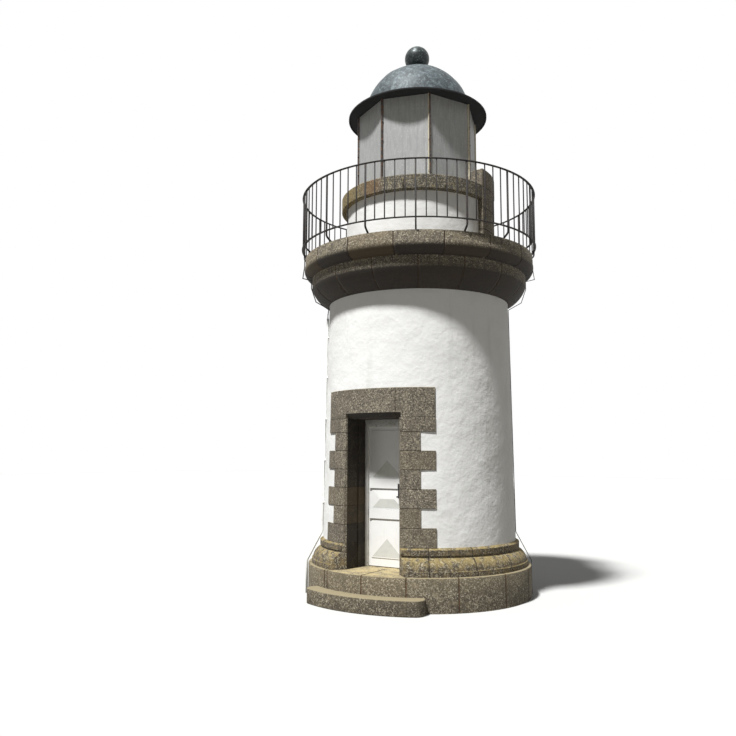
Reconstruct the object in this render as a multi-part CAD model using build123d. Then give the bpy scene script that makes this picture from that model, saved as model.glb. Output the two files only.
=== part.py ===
from build123d import *

"""Small stone lighthouse: a rendered round tower on a granite plinth, with a railed gallery, a
rendered drum and an octagonal lantern under a metal dome.

Millimetres, +Z up. The origin is on the tower's axis at ground level, and the entrance faces -Y.
An azimuth is an angle about the tower's axis in degrees, 0 at the entrance and growing towards +X.
"""

import os
from math import asin, cos, degrees, hypot, pi, radians, sin, sqrt

# Plinth and entrance step
plinth_reach = 208
plinth_height = 422
plinth_arris = 12
step_height = 193
step_tread = 210
step_half_angle = 30.5
step_corner = 55

# Room inside the tower, and how walls are divided
room_radius = 860
wall_joint_angle = 127.3

# Base moulding, in three members from the foot up
fillet_height = 63
fillet_reach = 160
ovolo_height = 155
ovolo_reach = 146
ovolo_bulge = 26
neck_height = 28
neck_reach = 34
band_height = 67
band_reach = 46
weathering_height = 24

# Shaft
shaft_foot_radius = 1362
shaft_head_radius = 1312
shaft_height = 3326

# Doorway
reveal_half_width = 397
stop_depth = 14
stop_setback = 350
arris_chamfer = 33
lintel_chamfer = 65
door_head_height = 1976
lintel_height = 386
long_stone_angle = 37.3
short_stone_angle = 29.0
quoin_courses = 6
top_quoin_height = 186
surround_proud = 12

# Door frame and leaf
frame_face = 850
frame_lip = 18
frame_left_width = 57
frame_right_width = 119
frame_head_width = 101
frame_depth = 62
leaf_thickness = 42
leaf_gap = 9
leaf_lap = 8
panel_plate_rise = 7
panel_rise = 18
panel_border = 14
panel_crest = 1
panel_margin = 46
rail_margin = 15
rail_rise = 22
bottom_rail_height = 109
lower_panel_height = 520
lower_rail_height = 127
middle_panel_height = 278
lock_rail_height = 132
top_rail_height = 54

# Door furniture
handle_setback = 118
handle_above_floor = 940
handle_plate_height = 190
handle_plate_width = 36
handle_plate_thickness = 5
handle_plate_rise = 26
plate_below_lever = 20
spindle_radius = 9
lever_radius = 7.5
lever_length = 80
lever_standoff = 42
pin_radius = 7
pin_fit = 0.4
eye_wall = 6
eye_height = 40
hinge_strap_width = 34
hinge_strap_length = 260
hinge_strap_thickness = 5
hinge_inset = 260
pin_arm_gap = 1

# Cornice and gallery
cornice_sweep_height = 255
cornice_reach = 259
cornice_belly = 30
fascia_height = 130
break_height = 20
gallery_sweep_height = 170
gallery_reach = 105
gallery_belly = 38
slab_edge_height = 110
upper_floor_thickness = 150

# Drum under the lantern
drum_radius = 1067
drum_room_radius = 740
drum_height = 743
coping_radius = 1140
coping_height = 212
coping_arris = 14

# Gallery doorway
gallery_door_azimuth = 120
gallery_surround_angle = 39
gallery_surround_radius = 1146
gallery_door_half_width = 300
gallery_door_height = 925
gallery_lintel_height = 265
lintel_gap = 22
gallery_door_thickness = 45
gallery_door_step = 29

# Lantern
lantern_radius = 918
lantern_turn = -6.2
lantern_height = 1157
lantern_sill_height = 42
lantern_sill_reach = 16
mullion_width = 40
mullion_depth = 44
mullion_nose = 14
panel_thickness = 8
panel_setback = 16
frieze_height = 118
frieze_thickness = 46

# Roof
brim_overhang = 131
brim_thickness = 16
brim_hem = 12
dome_inset = 113
dome_thickness = 10
dome_foot = 18
neck_radius = 92
collar_radius = 150
collar_height = 26
ball_radius = 189
ball_sink = 22

# Railing
rail_radius = 1716
rail_width = 36
rail_thickness = 12
post_section = 22
baluster_section = 14
rail_above_gallery = 930
lower_ring_above_gallery = 153
posts = 16
balusters_per_bay = 4
first_post_azimuth = 4.6
foot_inset = 58
foot_knee = 75
foot_bend = 60

# Pipes and cables fixed to the walls
conduit_azimuth = -52.0
conduit_radius = 16
conduit_head_below_cornice = 190
bend_above_moulding = 90
conduit_bend = 96
stand_off = 6
belly_allowance = 2
cable_radius = 7
cable_drop = 56
cable_entry_gap = 0.5
return_drop = 50
conductor_azimuth = 116.0
conductor_radius = 5
mitred = 0
clips = 5
clip_height = 22
clip_ear = 7

full_turn = 360

# Heights of the courses, each one standing on the one below
moulding_top = plinth_height + fillet_height + ovolo_height + neck_height + band_height + weathering_height
shaft_top = moulding_top + shaft_height
fascia_bottom = shaft_top + cornice_sweep_height
cornice_top = fascia_bottom + fascia_height
slab_bottom = cornice_top + break_height + gallery_sweep_height
gallery_floor = slab_bottom + slab_edge_height
drum_top = gallery_floor + drum_height
coping_top = drum_top + coping_height
frieze_bottom = coping_top + lantern_height
brim_bottom = frieze_bottom + frieze_height
dome_spring = brim_bottom + brim_thickness
conduit_head = shaft_top - conduit_head_below_cornice

# Radii that follow from the shaft
fascia_radius = shaft_head_radius + cornice_reach
slab_radius = fascia_radius + gallery_reach
plinth_radius = shaft_foot_radius + plinth_reach

# Planes of the lantern, and of what goes round it
lantern_apothem = lantern_radius * cos(pi / 8)
frieze_radius = lantern_radius - panel_setback / cos(pi / 8)
lintel_back = lantern_radius + lantern_sill_reach + lintel_gap
gallery_door_face = lintel_back + gallery_door_step
brim_radius = lantern_radius + brim_overhang
dome_radius = lantern_radius - dome_inset

# Doorway planes, measured from the axis towards -Y
lintel_underside = plinth_height + door_head_height
stop_half_width = reveal_half_width - stop_depth
surround_foot_radius = shaft_foot_radius + surround_proud
stop_face = shaft_foot_radius - stop_setback
frame_back = frame_face - frame_depth
leaf_face = frame_face - frame_lip
leaf_back = leaf_face - leaf_thickness
light_left = -stop_half_width + frame_left_width
light_right = stop_half_width - frame_right_width
light_top = lintel_underside - frame_head_width
leaf_left = light_left - leaf_lap
leaf_right = light_right + leaf_lap
leaf_bottom = plinth_height + leaf_gap
leaf_top = light_top + leaf_lap
hinge_x = leaf_left - leaf_gap / 2
hinge_y = -(frame_back - leaf_gap - pin_radius - eye_wall)


def radial_plane(azimuth):
    """Upright plane through the axis: local x is the radius and local y the height."""
    turn = radians(azimuth)
    return Plane(origin=(0, 0, 0), x_dir=(sin(turn), -cos(turn), 0), z_dir=(-cos(turn), -sin(turn), 0))


def at(azimuth, radius, height=0):
    """Point at an azimuth, a radius and a height."""
    turn = radians(azimuth)
    return Vector(radius * sin(turn), -radius * cos(turn), height)


def closed_outline(*edges):
    """Face inside a run of edges that starts and ends at one point."""
    return Face(Wire(edges))


def swept_sector(outline, start, end):
    """Solid made by turning a radius and height outline about the axis from start to end."""
    return revolve(radial_plane(start) * outline, Axis.Z, end - start)


def turned_body(outline):
    """Solid of revolution, all the way round the axis."""
    return revolve(Plane.XZ * outline, Axis.Z, full_turn)


def box_between(low, high):
    """Box between two corners."""
    size = [b - a for a, b in zip(low, high)]
    return Pos(*low) * Box(*size, align=(Align.MIN, Align.MIN, Align.MIN))


def shaft_radius(height):
    """Outer radius of the tapering shaft at a height above the ground."""
    share = (height - moulding_top) / shaft_height
    return shaft_foot_radius + (shaft_head_radius - shaft_foot_radius) * share


def swelling(low_point, high_point, belly):
    """Middle point of a moulding's curve that swells out and down by the belly each way."""
    radius = (low_point[0] + high_point[0]) / 2 + belly
    height = (low_point[1] + high_point[1]) / 2 - belly
    return (radius, height)


def shaft_outline(low, high, proud=0):
    """Section of the shaft's wall between two heights, as far as it stands proud of the render."""
    return closed_outline(
        *Polyline(
            (room_radius, low),
            (shaft_radius(low) + proud, low),
            (shaft_radius(high) + proud, high),
            (room_radius, high),
            close=True,
        ).edges()
    )


def plinth():
    """Solid granite drum whose top is the floor of the room and of the doorway."""
    body = Cylinder(plinth_radius, plinth_height, align=(Align.CENTER, Align.CENTER, Align.MIN))
    return chamfer(body.edges().sort_by(Axis.Z)[-1], plinth_arris)


def entrance_step():
    """Curved step against the plinth, with rounded outer corners."""
    outer = plinth_radius + step_tread
    outline = Polyline(
        (plinth_radius, 0),
        (outer, 0),
        (outer, step_height),
        (plinth_radius, step_height),
        close=True,
    )
    body = swept_sector(closed_outline(*outline.edges()), -step_half_angle, step_half_angle)
    corners = [
        edge
        for edge in body.edges().filter_by(Axis.Z)
        if hypot(edge.center().X, edge.center().Y) > plinth_radius + step_tread / 2
    ]
    return fillet(corners, step_corner)


def moulding_outline():
    """Section of the base moulding: fillet, ovolo, neck and a weathered band."""
    fillet_top = plinth_height + fillet_height
    ovolo_top = fillet_top + ovolo_height
    neck_top = ovolo_top + neck_height
    band_top = neck_top + band_height
    fillet_radius = shaft_foot_radius + fillet_reach
    ovolo_radius = shaft_foot_radius + ovolo_reach
    neck_outer = shaft_foot_radius + neck_reach
    band_radius = shaft_foot_radius + band_reach
    middle = ((ovolo_radius + neck_outer) / 2 + ovolo_bulge, (fillet_top + ovolo_top) / 2 + ovolo_bulge / 2)
    foot = Polyline((room_radius, plinth_height), (fillet_radius, plinth_height), (fillet_radius, fillet_top))
    ledge = Line((fillet_radius, fillet_top), (ovolo_radius, fillet_top))
    ovolo = ThreePointArc((ovolo_radius, fillet_top), middle, (neck_outer, ovolo_top))
    head = Polyline(
        (neck_outer, ovolo_top),
        (neck_outer, neck_top),
        (band_radius, neck_top),
        (band_radius, band_top),
        (shaft_foot_radius, moulding_top),
        (room_radius, moulding_top),
        (room_radius, plinth_height),
    )
    return closed_outline(*foot.edges(), ledge, ovolo, *head.edges())


def doorway():
    """Space that the doorway takes out of the wall: splayed arrises, a reveal, a stop and a pocket."""
    arris_x = reveal_half_width + arris_chamfer
    arris_y = sqrt(surround_foot_radius**2 - arris_x**2)
    chamfer_y = arris_y - arris_chamfer
    flare = plinth_radius - chamfer_y
    half = [
        (stop_half_width, 0),
        (stop_half_width, -stop_face),
        (reveal_half_width, -stop_face),
        (reveal_half_width, -chamfer_y),
        (reveal_half_width + flare, -plinth_radius),
    ]
    plan = Polyline(*[(-x, y) for x, y in half], *reversed(half), close=True)
    passage = extrude(Pos(0, 0, plinth_height) * Face(Wire(plan.edges())), door_head_height)
    outer = shaft_radius(lintel_underside + lintel_chamfer) + surround_proud
    splay = Polyline(
        (outer - lintel_chamfer, lintel_underside),
        (plinth_radius, lintel_underside),
        (plinth_radius, lintel_underside + plinth_radius - outer + lintel_chamfer),
        close=True,
    )
    splay_angle = degrees(asin(arris_x / surround_foot_radius))
    return passage + swept_sector(closed_outline(*splay.edges()), -splay_angle, splay_angle)


def quoin_stack(side, opening):
    """Jamb of the doorway: quoin stones of alternating length, as far up as the lintel."""
    quoin_top = lintel_underside - top_quoin_height
    course = (quoin_top - moulding_top) / quoin_courses
    stack = None
    for number in range(quoin_courses + 1):
        low = moulding_top + number * course
        high = lintel_underside if number == quoin_courses else low + course
        reach = short_stone_angle if number % 2 else long_stone_angle
        stone = swept_sector(shaft_outline(low, high, surround_proud), *sorted((0, side * reach)))
        stack = stone if stack is None else stack + stone
    return stack - opening


def wall_beside_door(side, jamb):
    """Shaft wall next to the doorway, toothed round the long quoins."""
    start, end = sorted((side * short_stone_angle, side * wall_joint_angle))
    wall = swept_sector(shaft_outline(moulding_top, shaft_top), start, end)
    over = swept_sector(
        shaft_outline(lintel_underside, shaft_top), *sorted((0, side * long_stone_angle))
    )
    return wall - jamb - over


def door_frame():
    """Timber frame: two posts and a head, with a lip that the leaf closes against."""
    outer = box_between(
        (-stop_half_width, -frame_face, plinth_height), (stop_half_width, -frame_back, lintel_underside)
    )
    light = box_between((light_left, -frame_face, plinth_height), (light_right, -frame_back, light_top))
    rebate = box_between(
        (leaf_left - leaf_gap, -leaf_face, plinth_height),
        (leaf_right + leaf_gap, -frame_back, leaf_top + leaf_gap),
    )
    return outer - light - rebate


def raised_panel(low, high, ridge):
    """Raised plate with a hipped middle, whose ridge is upright, level or shrunk to a point."""
    left = light_left + panel_margin
    right = light_right - panel_margin
    plate = box_between((left, -leaf_face - panel_plate_rise, low), (right, -leaf_face, high))
    middle = (left + right) / 2
    centre = (low + high) / 2
    half_across = (right - left) / 2 - panel_border
    half_up = (high - low) / 2 - panel_border
    along_x = max(half_across - half_up, 0) if ridge == "level" else 0
    along_z = max(half_up - half_across, 0) if ridge == "upright" else 0
    origin = (middle, -leaf_face - panel_plate_rise, centre)
    plane = Plane(origin=origin, x_dir=(1, 0, 0), z_dir=(0, -1, 0))
    base = plane * Rectangle(2 * half_across, 2 * half_up)
    crest = Rectangle(2 * along_x + panel_crest, 2 * along_z + panel_crest)
    top = plane.offset(panel_rise - panel_plate_rise) * crest
    return plate + loft([base.face(), top.face()])


def door_leaf():
    """Framed leaf with three raised and hipped panels between two proud rails."""
    board = box_between((leaf_left, -leaf_face, leaf_bottom), (leaf_right, -leaf_back, leaf_top))
    lower = leaf_bottom + bottom_rail_height
    lower_top = lower + lower_panel_height
    middle = lower_top + lower_rail_height
    middle_top = middle + middle_panel_height
    upper = middle_top + lock_rail_height
    upper_top = leaf_top - top_rail_height
    body = board
    body += raised_panel(lower, lower_top, "point")
    body += raised_panel(middle, middle_top, "level")
    body += raised_panel(upper, upper_top, "upright")
    for low, high in ((lower_top, middle), (middle_top, upper)):
        body += box_between(
            (light_left + rail_margin, -leaf_face - rail_rise, low),
            (light_right - rail_margin, -leaf_face, high),
        )
    return body


def door_handle():
    """Lever on a plate, outside and in, with its spindle through the leaf."""
    height = plinth_height + handle_above_floor
    x = leaf_right - handle_setback
    half_plate = handle_plate_width / 2
    foot = height - plate_below_lever
    head = foot + handle_plate_height
    front = box_between(
        (x - half_plate, -leaf_face - handle_plate_rise, foot), (x + half_plate, -leaf_face, head)
    )
    back = box_between(
        (x - half_plate, -leaf_back, foot), (x + half_plate, -leaf_back + handle_plate_thickness, head)
    )
    lever_out = -leaf_face - handle_plate_rise - lever_standoff
    lever_in = -leaf_back + lever_standoff
    spindle_out = lever_out - spindle_radius
    spindle_in = lever_in + spindle_radius
    axis = Plane(origin=(x, spindle_out, height), x_dir=(1, 0, 0), z_dir=(0, 1, 0))
    handle = front + back + extrude(axis * Circle(spindle_radius), spindle_in - spindle_out)
    for y in (lever_out, lever_in):
        start = Plane(origin=(x, y, height), x_dir=(0, 1, 0), z_dir=(1, 0, 0))
        handle += extrude(start * Circle(lever_radius), lever_length)
    return handle


def hinge_heights():
    """Heights of the middle of the two hinges."""
    return (leaf_bottom + hinge_inset, leaf_top - hinge_inset)


def hinge_pins():
    """Pin of each hinge, on a bracket that is screwed to the frame's inner face."""
    pins = Part()
    for height in hinge_heights():
        low = height - eye_height / 2 - eye_height
        shank = Pos(hinge_x, hinge_y, low) * Cylinder(
            pin_radius, 2 * eye_height, align=(Align.CENTER, Align.CENTER, Align.MIN)
        )
        arm = box_between(
            (-stop_half_width + leaf_gap, -frame_back, low),
            (hinge_x + pin_radius, hinge_y + pin_radius, low + eye_height - pin_arm_gap),
        )
        pins += shank + arm
    return pins


def hinge_straps():
    """Strap and eye of each hinge, on the leaf's inner face."""
    straps = Part()
    for height in hinge_heights():
        low = height - eye_height / 2
        eye = Pos(hinge_x, hinge_y, low) * Cylinder(
            pin_radius + eye_wall, eye_height, align=(Align.CENTER, Align.CENTER, Align.MIN)
        )
        strap = box_between(
            (hinge_x, -leaf_back, height - hinge_strap_width / 2),
            (
                leaf_left + hinge_strap_length,
                -leaf_back + hinge_strap_thickness,
                height + hinge_strap_width / 2,
            ),
        )
        web = box_between(
            (hinge_x, -leaf_back, height - hinge_strap_width / 2),
            (hinge_x + pin_radius + eye_wall, hinge_y, height + hinge_strap_width / 2),
        )
        bore = Pos(hinge_x, hinge_y, low) * Cylinder(
            pin_radius + pin_fit, eye_height, align=(Align.CENTER, Align.CENTER, Align.MIN)
        )
        straps += (eye + strap + web) - bore
    return straps


def cornice_outline():
    """Section of the cornice: a swelling corbel under a plain fascia."""
    foot = (shaft_head_radius, shaft_top)
    crown = (fascia_radius, fascia_bottom)
    sweep = ThreePointArc(foot, swelling(foot, crown, cornice_belly), crown)
    head = Polyline(
        (fascia_radius, fascia_bottom),
        (fascia_radius, cornice_top),
        (room_radius, cornice_top),
        (room_radius, shaft_top),
        (shaft_head_radius, shaft_top),
    )
    return closed_outline(sweep, *head.edges())


def gallery_outline():
    """Section of the gallery's edge course: a break, an ovolo and the slab's square edge."""
    start = (fascia_radius, cornice_top + break_height)
    crown = (slab_radius, slab_bottom)
    foot = Polyline((room_radius, cornice_top), (fascia_radius, cornice_top), start)
    sweep = ThreePointArc(start, swelling(start, crown, gallery_belly), crown)
    head = Polyline(
        (slab_radius, slab_bottom),
        (slab_radius, gallery_floor),
        (room_radius, gallery_floor),
        (room_radius, cornice_top),
    )
    return closed_outline(*foot.edges(), sweep, *head.edges())


def ring_outline(inner, outer, low, high):
    """Rectangular section of a ring course."""
    corners = ((inner, low), (outer, low), (outer, high), (inner, high))
    return closed_outline(*Polyline(*corners, close=True).edges())


def coping_outline():
    """Section of the drum's coping, with its two outer arrises eased."""
    points = (
        (drum_room_radius, drum_top),
        (coping_radius - coping_arris, drum_top),
        (coping_radius, drum_top + coping_arris),
        (coping_radius, coping_top - coping_arris),
        (coping_radius - coping_arris, coping_top),
        (drum_room_radius, coping_top),
    )
    return closed_outline(*Polyline(*points, close=True).edges())


def gallery_opening():
    """Space that the gallery doorway takes out of its surround."""
    cut = box_between(
        (-gallery_door_half_width, -gallery_surround_radius, gallery_floor),
        (gallery_door_half_width, 0, gallery_floor + gallery_door_height),
    )
    return Rot(0, 0, gallery_door_azimuth) * cut


def gallery_jamb(side, opening):
    """Granite jamb beside the gallery doorway: as deep as the wall, with a slimmer head under the lintel."""
    start, end = sorted((0, side * gallery_surround_angle))
    lintel_foot = gallery_floor + gallery_door_height
    outline = Polyline(
        (drum_room_radius, gallery_floor),
        (gallery_surround_radius, gallery_floor),
        (gallery_surround_radius, lintel_foot),
        (lintel_back, lintel_foot),
        (lintel_back, drum_top),
        (drum_room_radius, drum_top),
        close=True,
    )
    block = swept_sector(
        closed_outline(*outline.edges()), gallery_door_azimuth + start, gallery_door_azimuth + end
    )
    return block - opening


def gallery_lintel():
    """Granite head over the gallery doorway, in front of the lantern's foot."""
    low = gallery_floor + gallery_door_height
    outline = ring_outline(lintel_back, gallery_surround_radius, low, low + gallery_lintel_height)
    return swept_sector(
        outline,
        gallery_door_azimuth - gallery_surround_angle,
        gallery_door_azimuth + gallery_surround_angle,
    )


def gallery_door():
    """Closed leaf in the gallery doorway, fixed in its opening."""
    back = -gallery_door_face + gallery_door_thickness
    leaf = box_between(
        (-gallery_door_half_width, -gallery_door_face, gallery_floor),
        (gallery_door_half_width, back, gallery_floor + gallery_door_height),
    )
    return Rot(0, 0, gallery_door_azimuth) * leaf


def octagon(radius, height, thickness):
    """Prism on a regular octagon in the lantern's position, with the height at its foot."""
    flat = RegularPolygon(radius, 8, rotation=lantern_turn - 90)
    return extrude(Pos(0, 0, height) * flat, thickness)


def lantern_sill():
    """Octagonal sill that the lantern's bars and panels stand on."""
    outer = octagon(lantern_radius + lantern_sill_reach, coping_top, lantern_sill_height)
    inner = octagon(lantern_radius - mullion_depth - lantern_sill_reach, coping_top, lantern_sill_height)
    return outer - inner


def lantern_bars():
    """Eight upright corner bars with a splayed nose, from the sill to the roof."""
    low = coping_top + lantern_sill_height
    bars = Part()
    half = mullion_width / 2
    for number in range(8):
        section = Polyline(
            (lantern_radius - mullion_depth, -half),
            (lantern_radius - mullion_nose, -half),
            (lantern_radius, -half / 2),
            (lantern_radius, half / 2),
            (lantern_radius - mullion_nose, half),
            (lantern_radius - mullion_depth, half),
            close=True,
        )
        bar = extrude(Pos(0, 0, low) * Face(Wire(section.edges())), brim_bottom - low)
        bars += Rot(0, 0, lantern_turn - 90 + number * full_turn / 8) * bar
    return bars


def lantern_panels(bars):
    """Eight flat panels, each let in between two bars."""
    low = coping_top + lantern_sill_height
    half = lantern_radius * sin(pi / 8)
    panels = Part()
    for number in range(8):
        sheet = box_between(
            (-half, -lantern_apothem + panel_setback, low),
            (half, -lantern_apothem + panel_setback + panel_thickness, frieze_bottom),
        )
        panels += Rot(0, 0, lantern_turn + (number + 0.5) * full_turn / 8) * sheet - bars
    return panels


def lantern_frieze(bars):
    """Octagonal band that carries the roof, flush with the panels and let in between the bars."""
    outer = octagon(frieze_radius, frieze_bottom, frieze_height)
    inner = octagon(frieze_radius - frieze_thickness, frieze_bottom, frieze_height)
    return outer - inner - bars


def brim():
    """Flat metal brim round the dome's foot, open in the middle, with a turned-down hem."""
    inner = dome_radius - dome_foot
    points = (
        (inner, brim_bottom),
        (brim_radius - brim_hem, brim_bottom),
        (brim_radius - brim_hem, brim_bottom - brim_hem),
        (brim_radius, brim_bottom - brim_hem),
        (brim_radius, dome_spring),
        (inner, dome_spring),
    )
    return turned_body(closed_outline(*Polyline(*points, close=True).edges()))


def dome():
    """Hemispherical sheet metal dome, open at the top under the collar."""
    inner = dome_radius - dome_thickness
    lift = radians(90) - asin(neck_radius / dome_radius)
    inner_lift = radians(90) - asin(neck_radius / inner)
    half_lift = lift / 2
    outside = ThreePointArc(
        (dome_radius, dome_spring),
        (dome_radius * cos(half_lift), dome_spring + dome_radius * sin(half_lift)),
        (dome_radius * cos(lift), dome_spring + dome_radius * sin(lift)),
    )
    inside = ThreePointArc(
        (inner * cos(inner_lift), dome_spring + inner * sin(inner_lift)),
        (inner * cos(half_lift), dome_spring + inner * sin(half_lift)),
        (inner, dome_spring),
    )
    rim = Line(outside @ 1, inside @ 0)
    foot = Line(inside @ 1, outside @ 0)
    return turned_body(closed_outline(outside, rim, inside, foot))


def dome_collar():
    """Stepped collar that closes the dome and carries the ball."""
    seat = dome_spring + sqrt(dome_radius**2 - neck_radius**2)
    skirt = dome_spring + sqrt(dome_radius**2 - collar_radius**2)
    ball_foot = ball_centre_height() - sqrt(ball_radius**2 - neck_radius**2)
    arc = ThreePointArc(
        (collar_radius, skirt),
        (
            (collar_radius + neck_radius) / 2,
            dome_spring + sqrt(dome_radius**2 - ((collar_radius + neck_radius) / 2) ** 2),
        ),
        (neck_radius, seat),
    )
    points = (
        (neck_radius, seat),
        (0, seat),
        (0, ball_foot),
        (neck_radius, ball_foot),
        (neck_radius, seat + collar_height),
        (collar_radius, skirt + collar_height),
        (collar_radius, skirt),
    )
    return turned_body(closed_outline(arc, *Polyline(*points).edges()))


def ball_centre_height():
    """Height of the middle of the finial ball."""
    return dome_spring + dome_radius + collar_height + ball_radius - ball_sink


def finial_ball(collar):
    """Metal ball that sits in the collar's socket."""
    return Pos(0, 0, ball_centre_height()) * Sphere(ball_radius) - collar


def post_azimuths(start, end):
    """Azimuths of the posts between two azimuths."""
    bay = full_turn / posts
    azimuths = [first_post_azimuth + bay * number for number in range(-posts, 2 * posts)]
    return [azimuth for azimuth in azimuths if start < azimuth < end]


def flat_ring(height, start, end):
    """Curved flat bar of the railing between two azimuths, with its middle at a height."""
    low = height - rail_thickness / 2
    inner = rail_radius - rail_width / 2
    outline = ring_outline(inner, inner + rail_width, low, low + rail_thickness)
    return swept_sector(outline, start, end)


def railing_post(azimuth, rail_height):
    """Square post that hangs outside the slab's edge and bends in to stand on the gallery."""
    path = radial_plane(azimuth) * FilletPolyline(
        (rail_radius, rail_height),
        (rail_radius, gallery_floor + foot_knee),
        (slab_radius - foot_inset, gallery_floor),
        (slab_radius - 2 * foot_inset, gallery_floor - foot_knee),
        radius=foot_bend,
    )
    across = (cos(radians(azimuth)), sin(radians(azimuth)), 0)
    section = Plane(origin=path @ 0, x_dir=across, z_dir=path % 0) * Rectangle(post_section, post_section)
    post = sweep(section, path=path)
    return split(post, bisect_by=Plane.XY.offset(gallery_floor), keep=Keep.TOP)


def railing_quarter(start):
    """Quarter of the railing: two curved flat bars, its posts and its square balusters."""
    end = start + full_turn / 4
    rail_height = gallery_floor + rail_above_gallery
    ring_height = gallery_floor + lower_ring_above_gallery
    body = flat_ring(rail_height, start, end) + flat_ring(ring_height, start, end)
    bay = full_turn / posts
    pitch = bay / (balusters_per_bay + 1)
    for azimuth in post_azimuths(start, end):
        body += railing_post(azimuth, rail_height)
    for azimuth in post_azimuths(start - bay, end + bay):
        for number in range(1, balusters_per_bay + 1):
            place = azimuth + number * pitch
            if start < place < end:
                bar = Box(baluster_section, baluster_section, rail_height - ring_height)
                middle = (rail_height + ring_height) / 2
                body += Rot(0, 0, place) * Pos(0, -rail_radius, middle) * bar
    return body


def fixed_run(azimuth, radius, points, bends):
    """Round pipe or cable along points of radius and height, bent to a radius or mitred for none."""
    line = FilletPolyline(*points, radius=bends) if bends else Polyline(*points)
    path = radial_plane(azimuth) * line
    section = Plane(origin=path @ 0, z_dir=path % 0) * Circle(radius)
    return sweep(section, path=path, transition=Transition.RIGHT)


def fixing_clips(azimuth, radius, low, high):
    """Clips that hold a pipe or cable to the shaft, spread evenly between two heights."""
    half_width = degrees((radius + clip_ear) / shaft_head_radius)
    reach = radius + stand_off
    held = Part()
    for number in range(clips):
        foot = low + (high - low) * (number + 0.5) / clips
        head = foot + clip_height
        outline = Polyline(
            (shaft_radius(foot), foot),
            (shaft_radius(foot) + reach, foot),
            (shaft_radius(head) + reach, head),
            (shaft_radius(head), head),
            close=True,
        )
        held += swept_sector(closed_outline(*outline.edges()), azimuth - half_width, azimuth + half_width)
    return held


def down_to_ground(off):
    """Points of a run that leaves the wall over the base moulding and goes down the plinth."""
    bend = moulding_top + bend_above_moulding
    return (
        (shaft_radius(bend) + off, bend),
        (plinth_radius + off, plinth_height + fillet_height / 2),
        (plinth_radius + off, 0),
    )


def round_the_cornice(off):
    """Points of a run from the gallery's edge round the slab and the cornice to the shaft's head."""
    slab_foot = (slab_radius, slab_bottom)
    slab_root = (fascia_radius, cornice_top + break_height)
    crown = (fascia_radius, fascia_bottom)
    foot = (shaft_head_radius, shaft_top)
    slab_belly = swelling(slab_root, slab_foot, belly_allowance * gallery_belly)
    belly = swelling(foot, crown, belly_allowance * cornice_belly)
    return (
        (slab_radius - foot_inset, gallery_floor + off),
        (slab_radius + off, gallery_floor + off),
        (slab_radius + off, slab_bottom),
        (slab_belly[0] + off, slab_belly[1] - off),
        (fascia_radius + off, cornice_top - off),
        (fascia_radius + off, fascia_bottom),
        (belly[0] + off, belly[1] - off),
        (shaft_head_radius + off, shaft_top - return_drop),
    )


def conduit():
    """White pipe down the wall, out over the base moulding and down the plinth to the ground."""
    off = conduit_radius + stand_off
    head = (shaft_radius(conduit_head) + off, conduit_head)
    pipe = fixed_run(conduit_azimuth, conduit_radius, (head, *down_to_ground(off)), conduit_bend)
    low = moulding_top + 2 * bend_above_moulding
    return pipe + fixing_clips(conduit_azimuth, conduit_radius, low, conduit_head)


def service_cable():
    """Dark cable from the gallery that enters the head of the conduit."""
    off = cable_radius + stand_off
    foot = shaft_radius(conduit_head) + conduit_radius + stand_off
    drop = ((foot, conduit_head + cable_drop), (foot, conduit_head + cable_entry_gap))
    return fixed_run(conduit_azimuth, cable_radius, (*round_the_cornice(off), *drop), mitred)


def lightning_conductor():
    """Earth rod from the gallery's edge down the wall, over the moulding and down the plinth."""
    off = conductor_radius + stand_off
    points = (*round_the_cornice(off), *down_to_ground(off))
    rod = fixed_run(conductor_azimuth, conductor_radius, points, mitred)
    low = moulding_top + 2 * bend_above_moulding
    return rod + fixing_clips(conductor_azimuth, conductor_radius, low, conduit_head)


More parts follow.
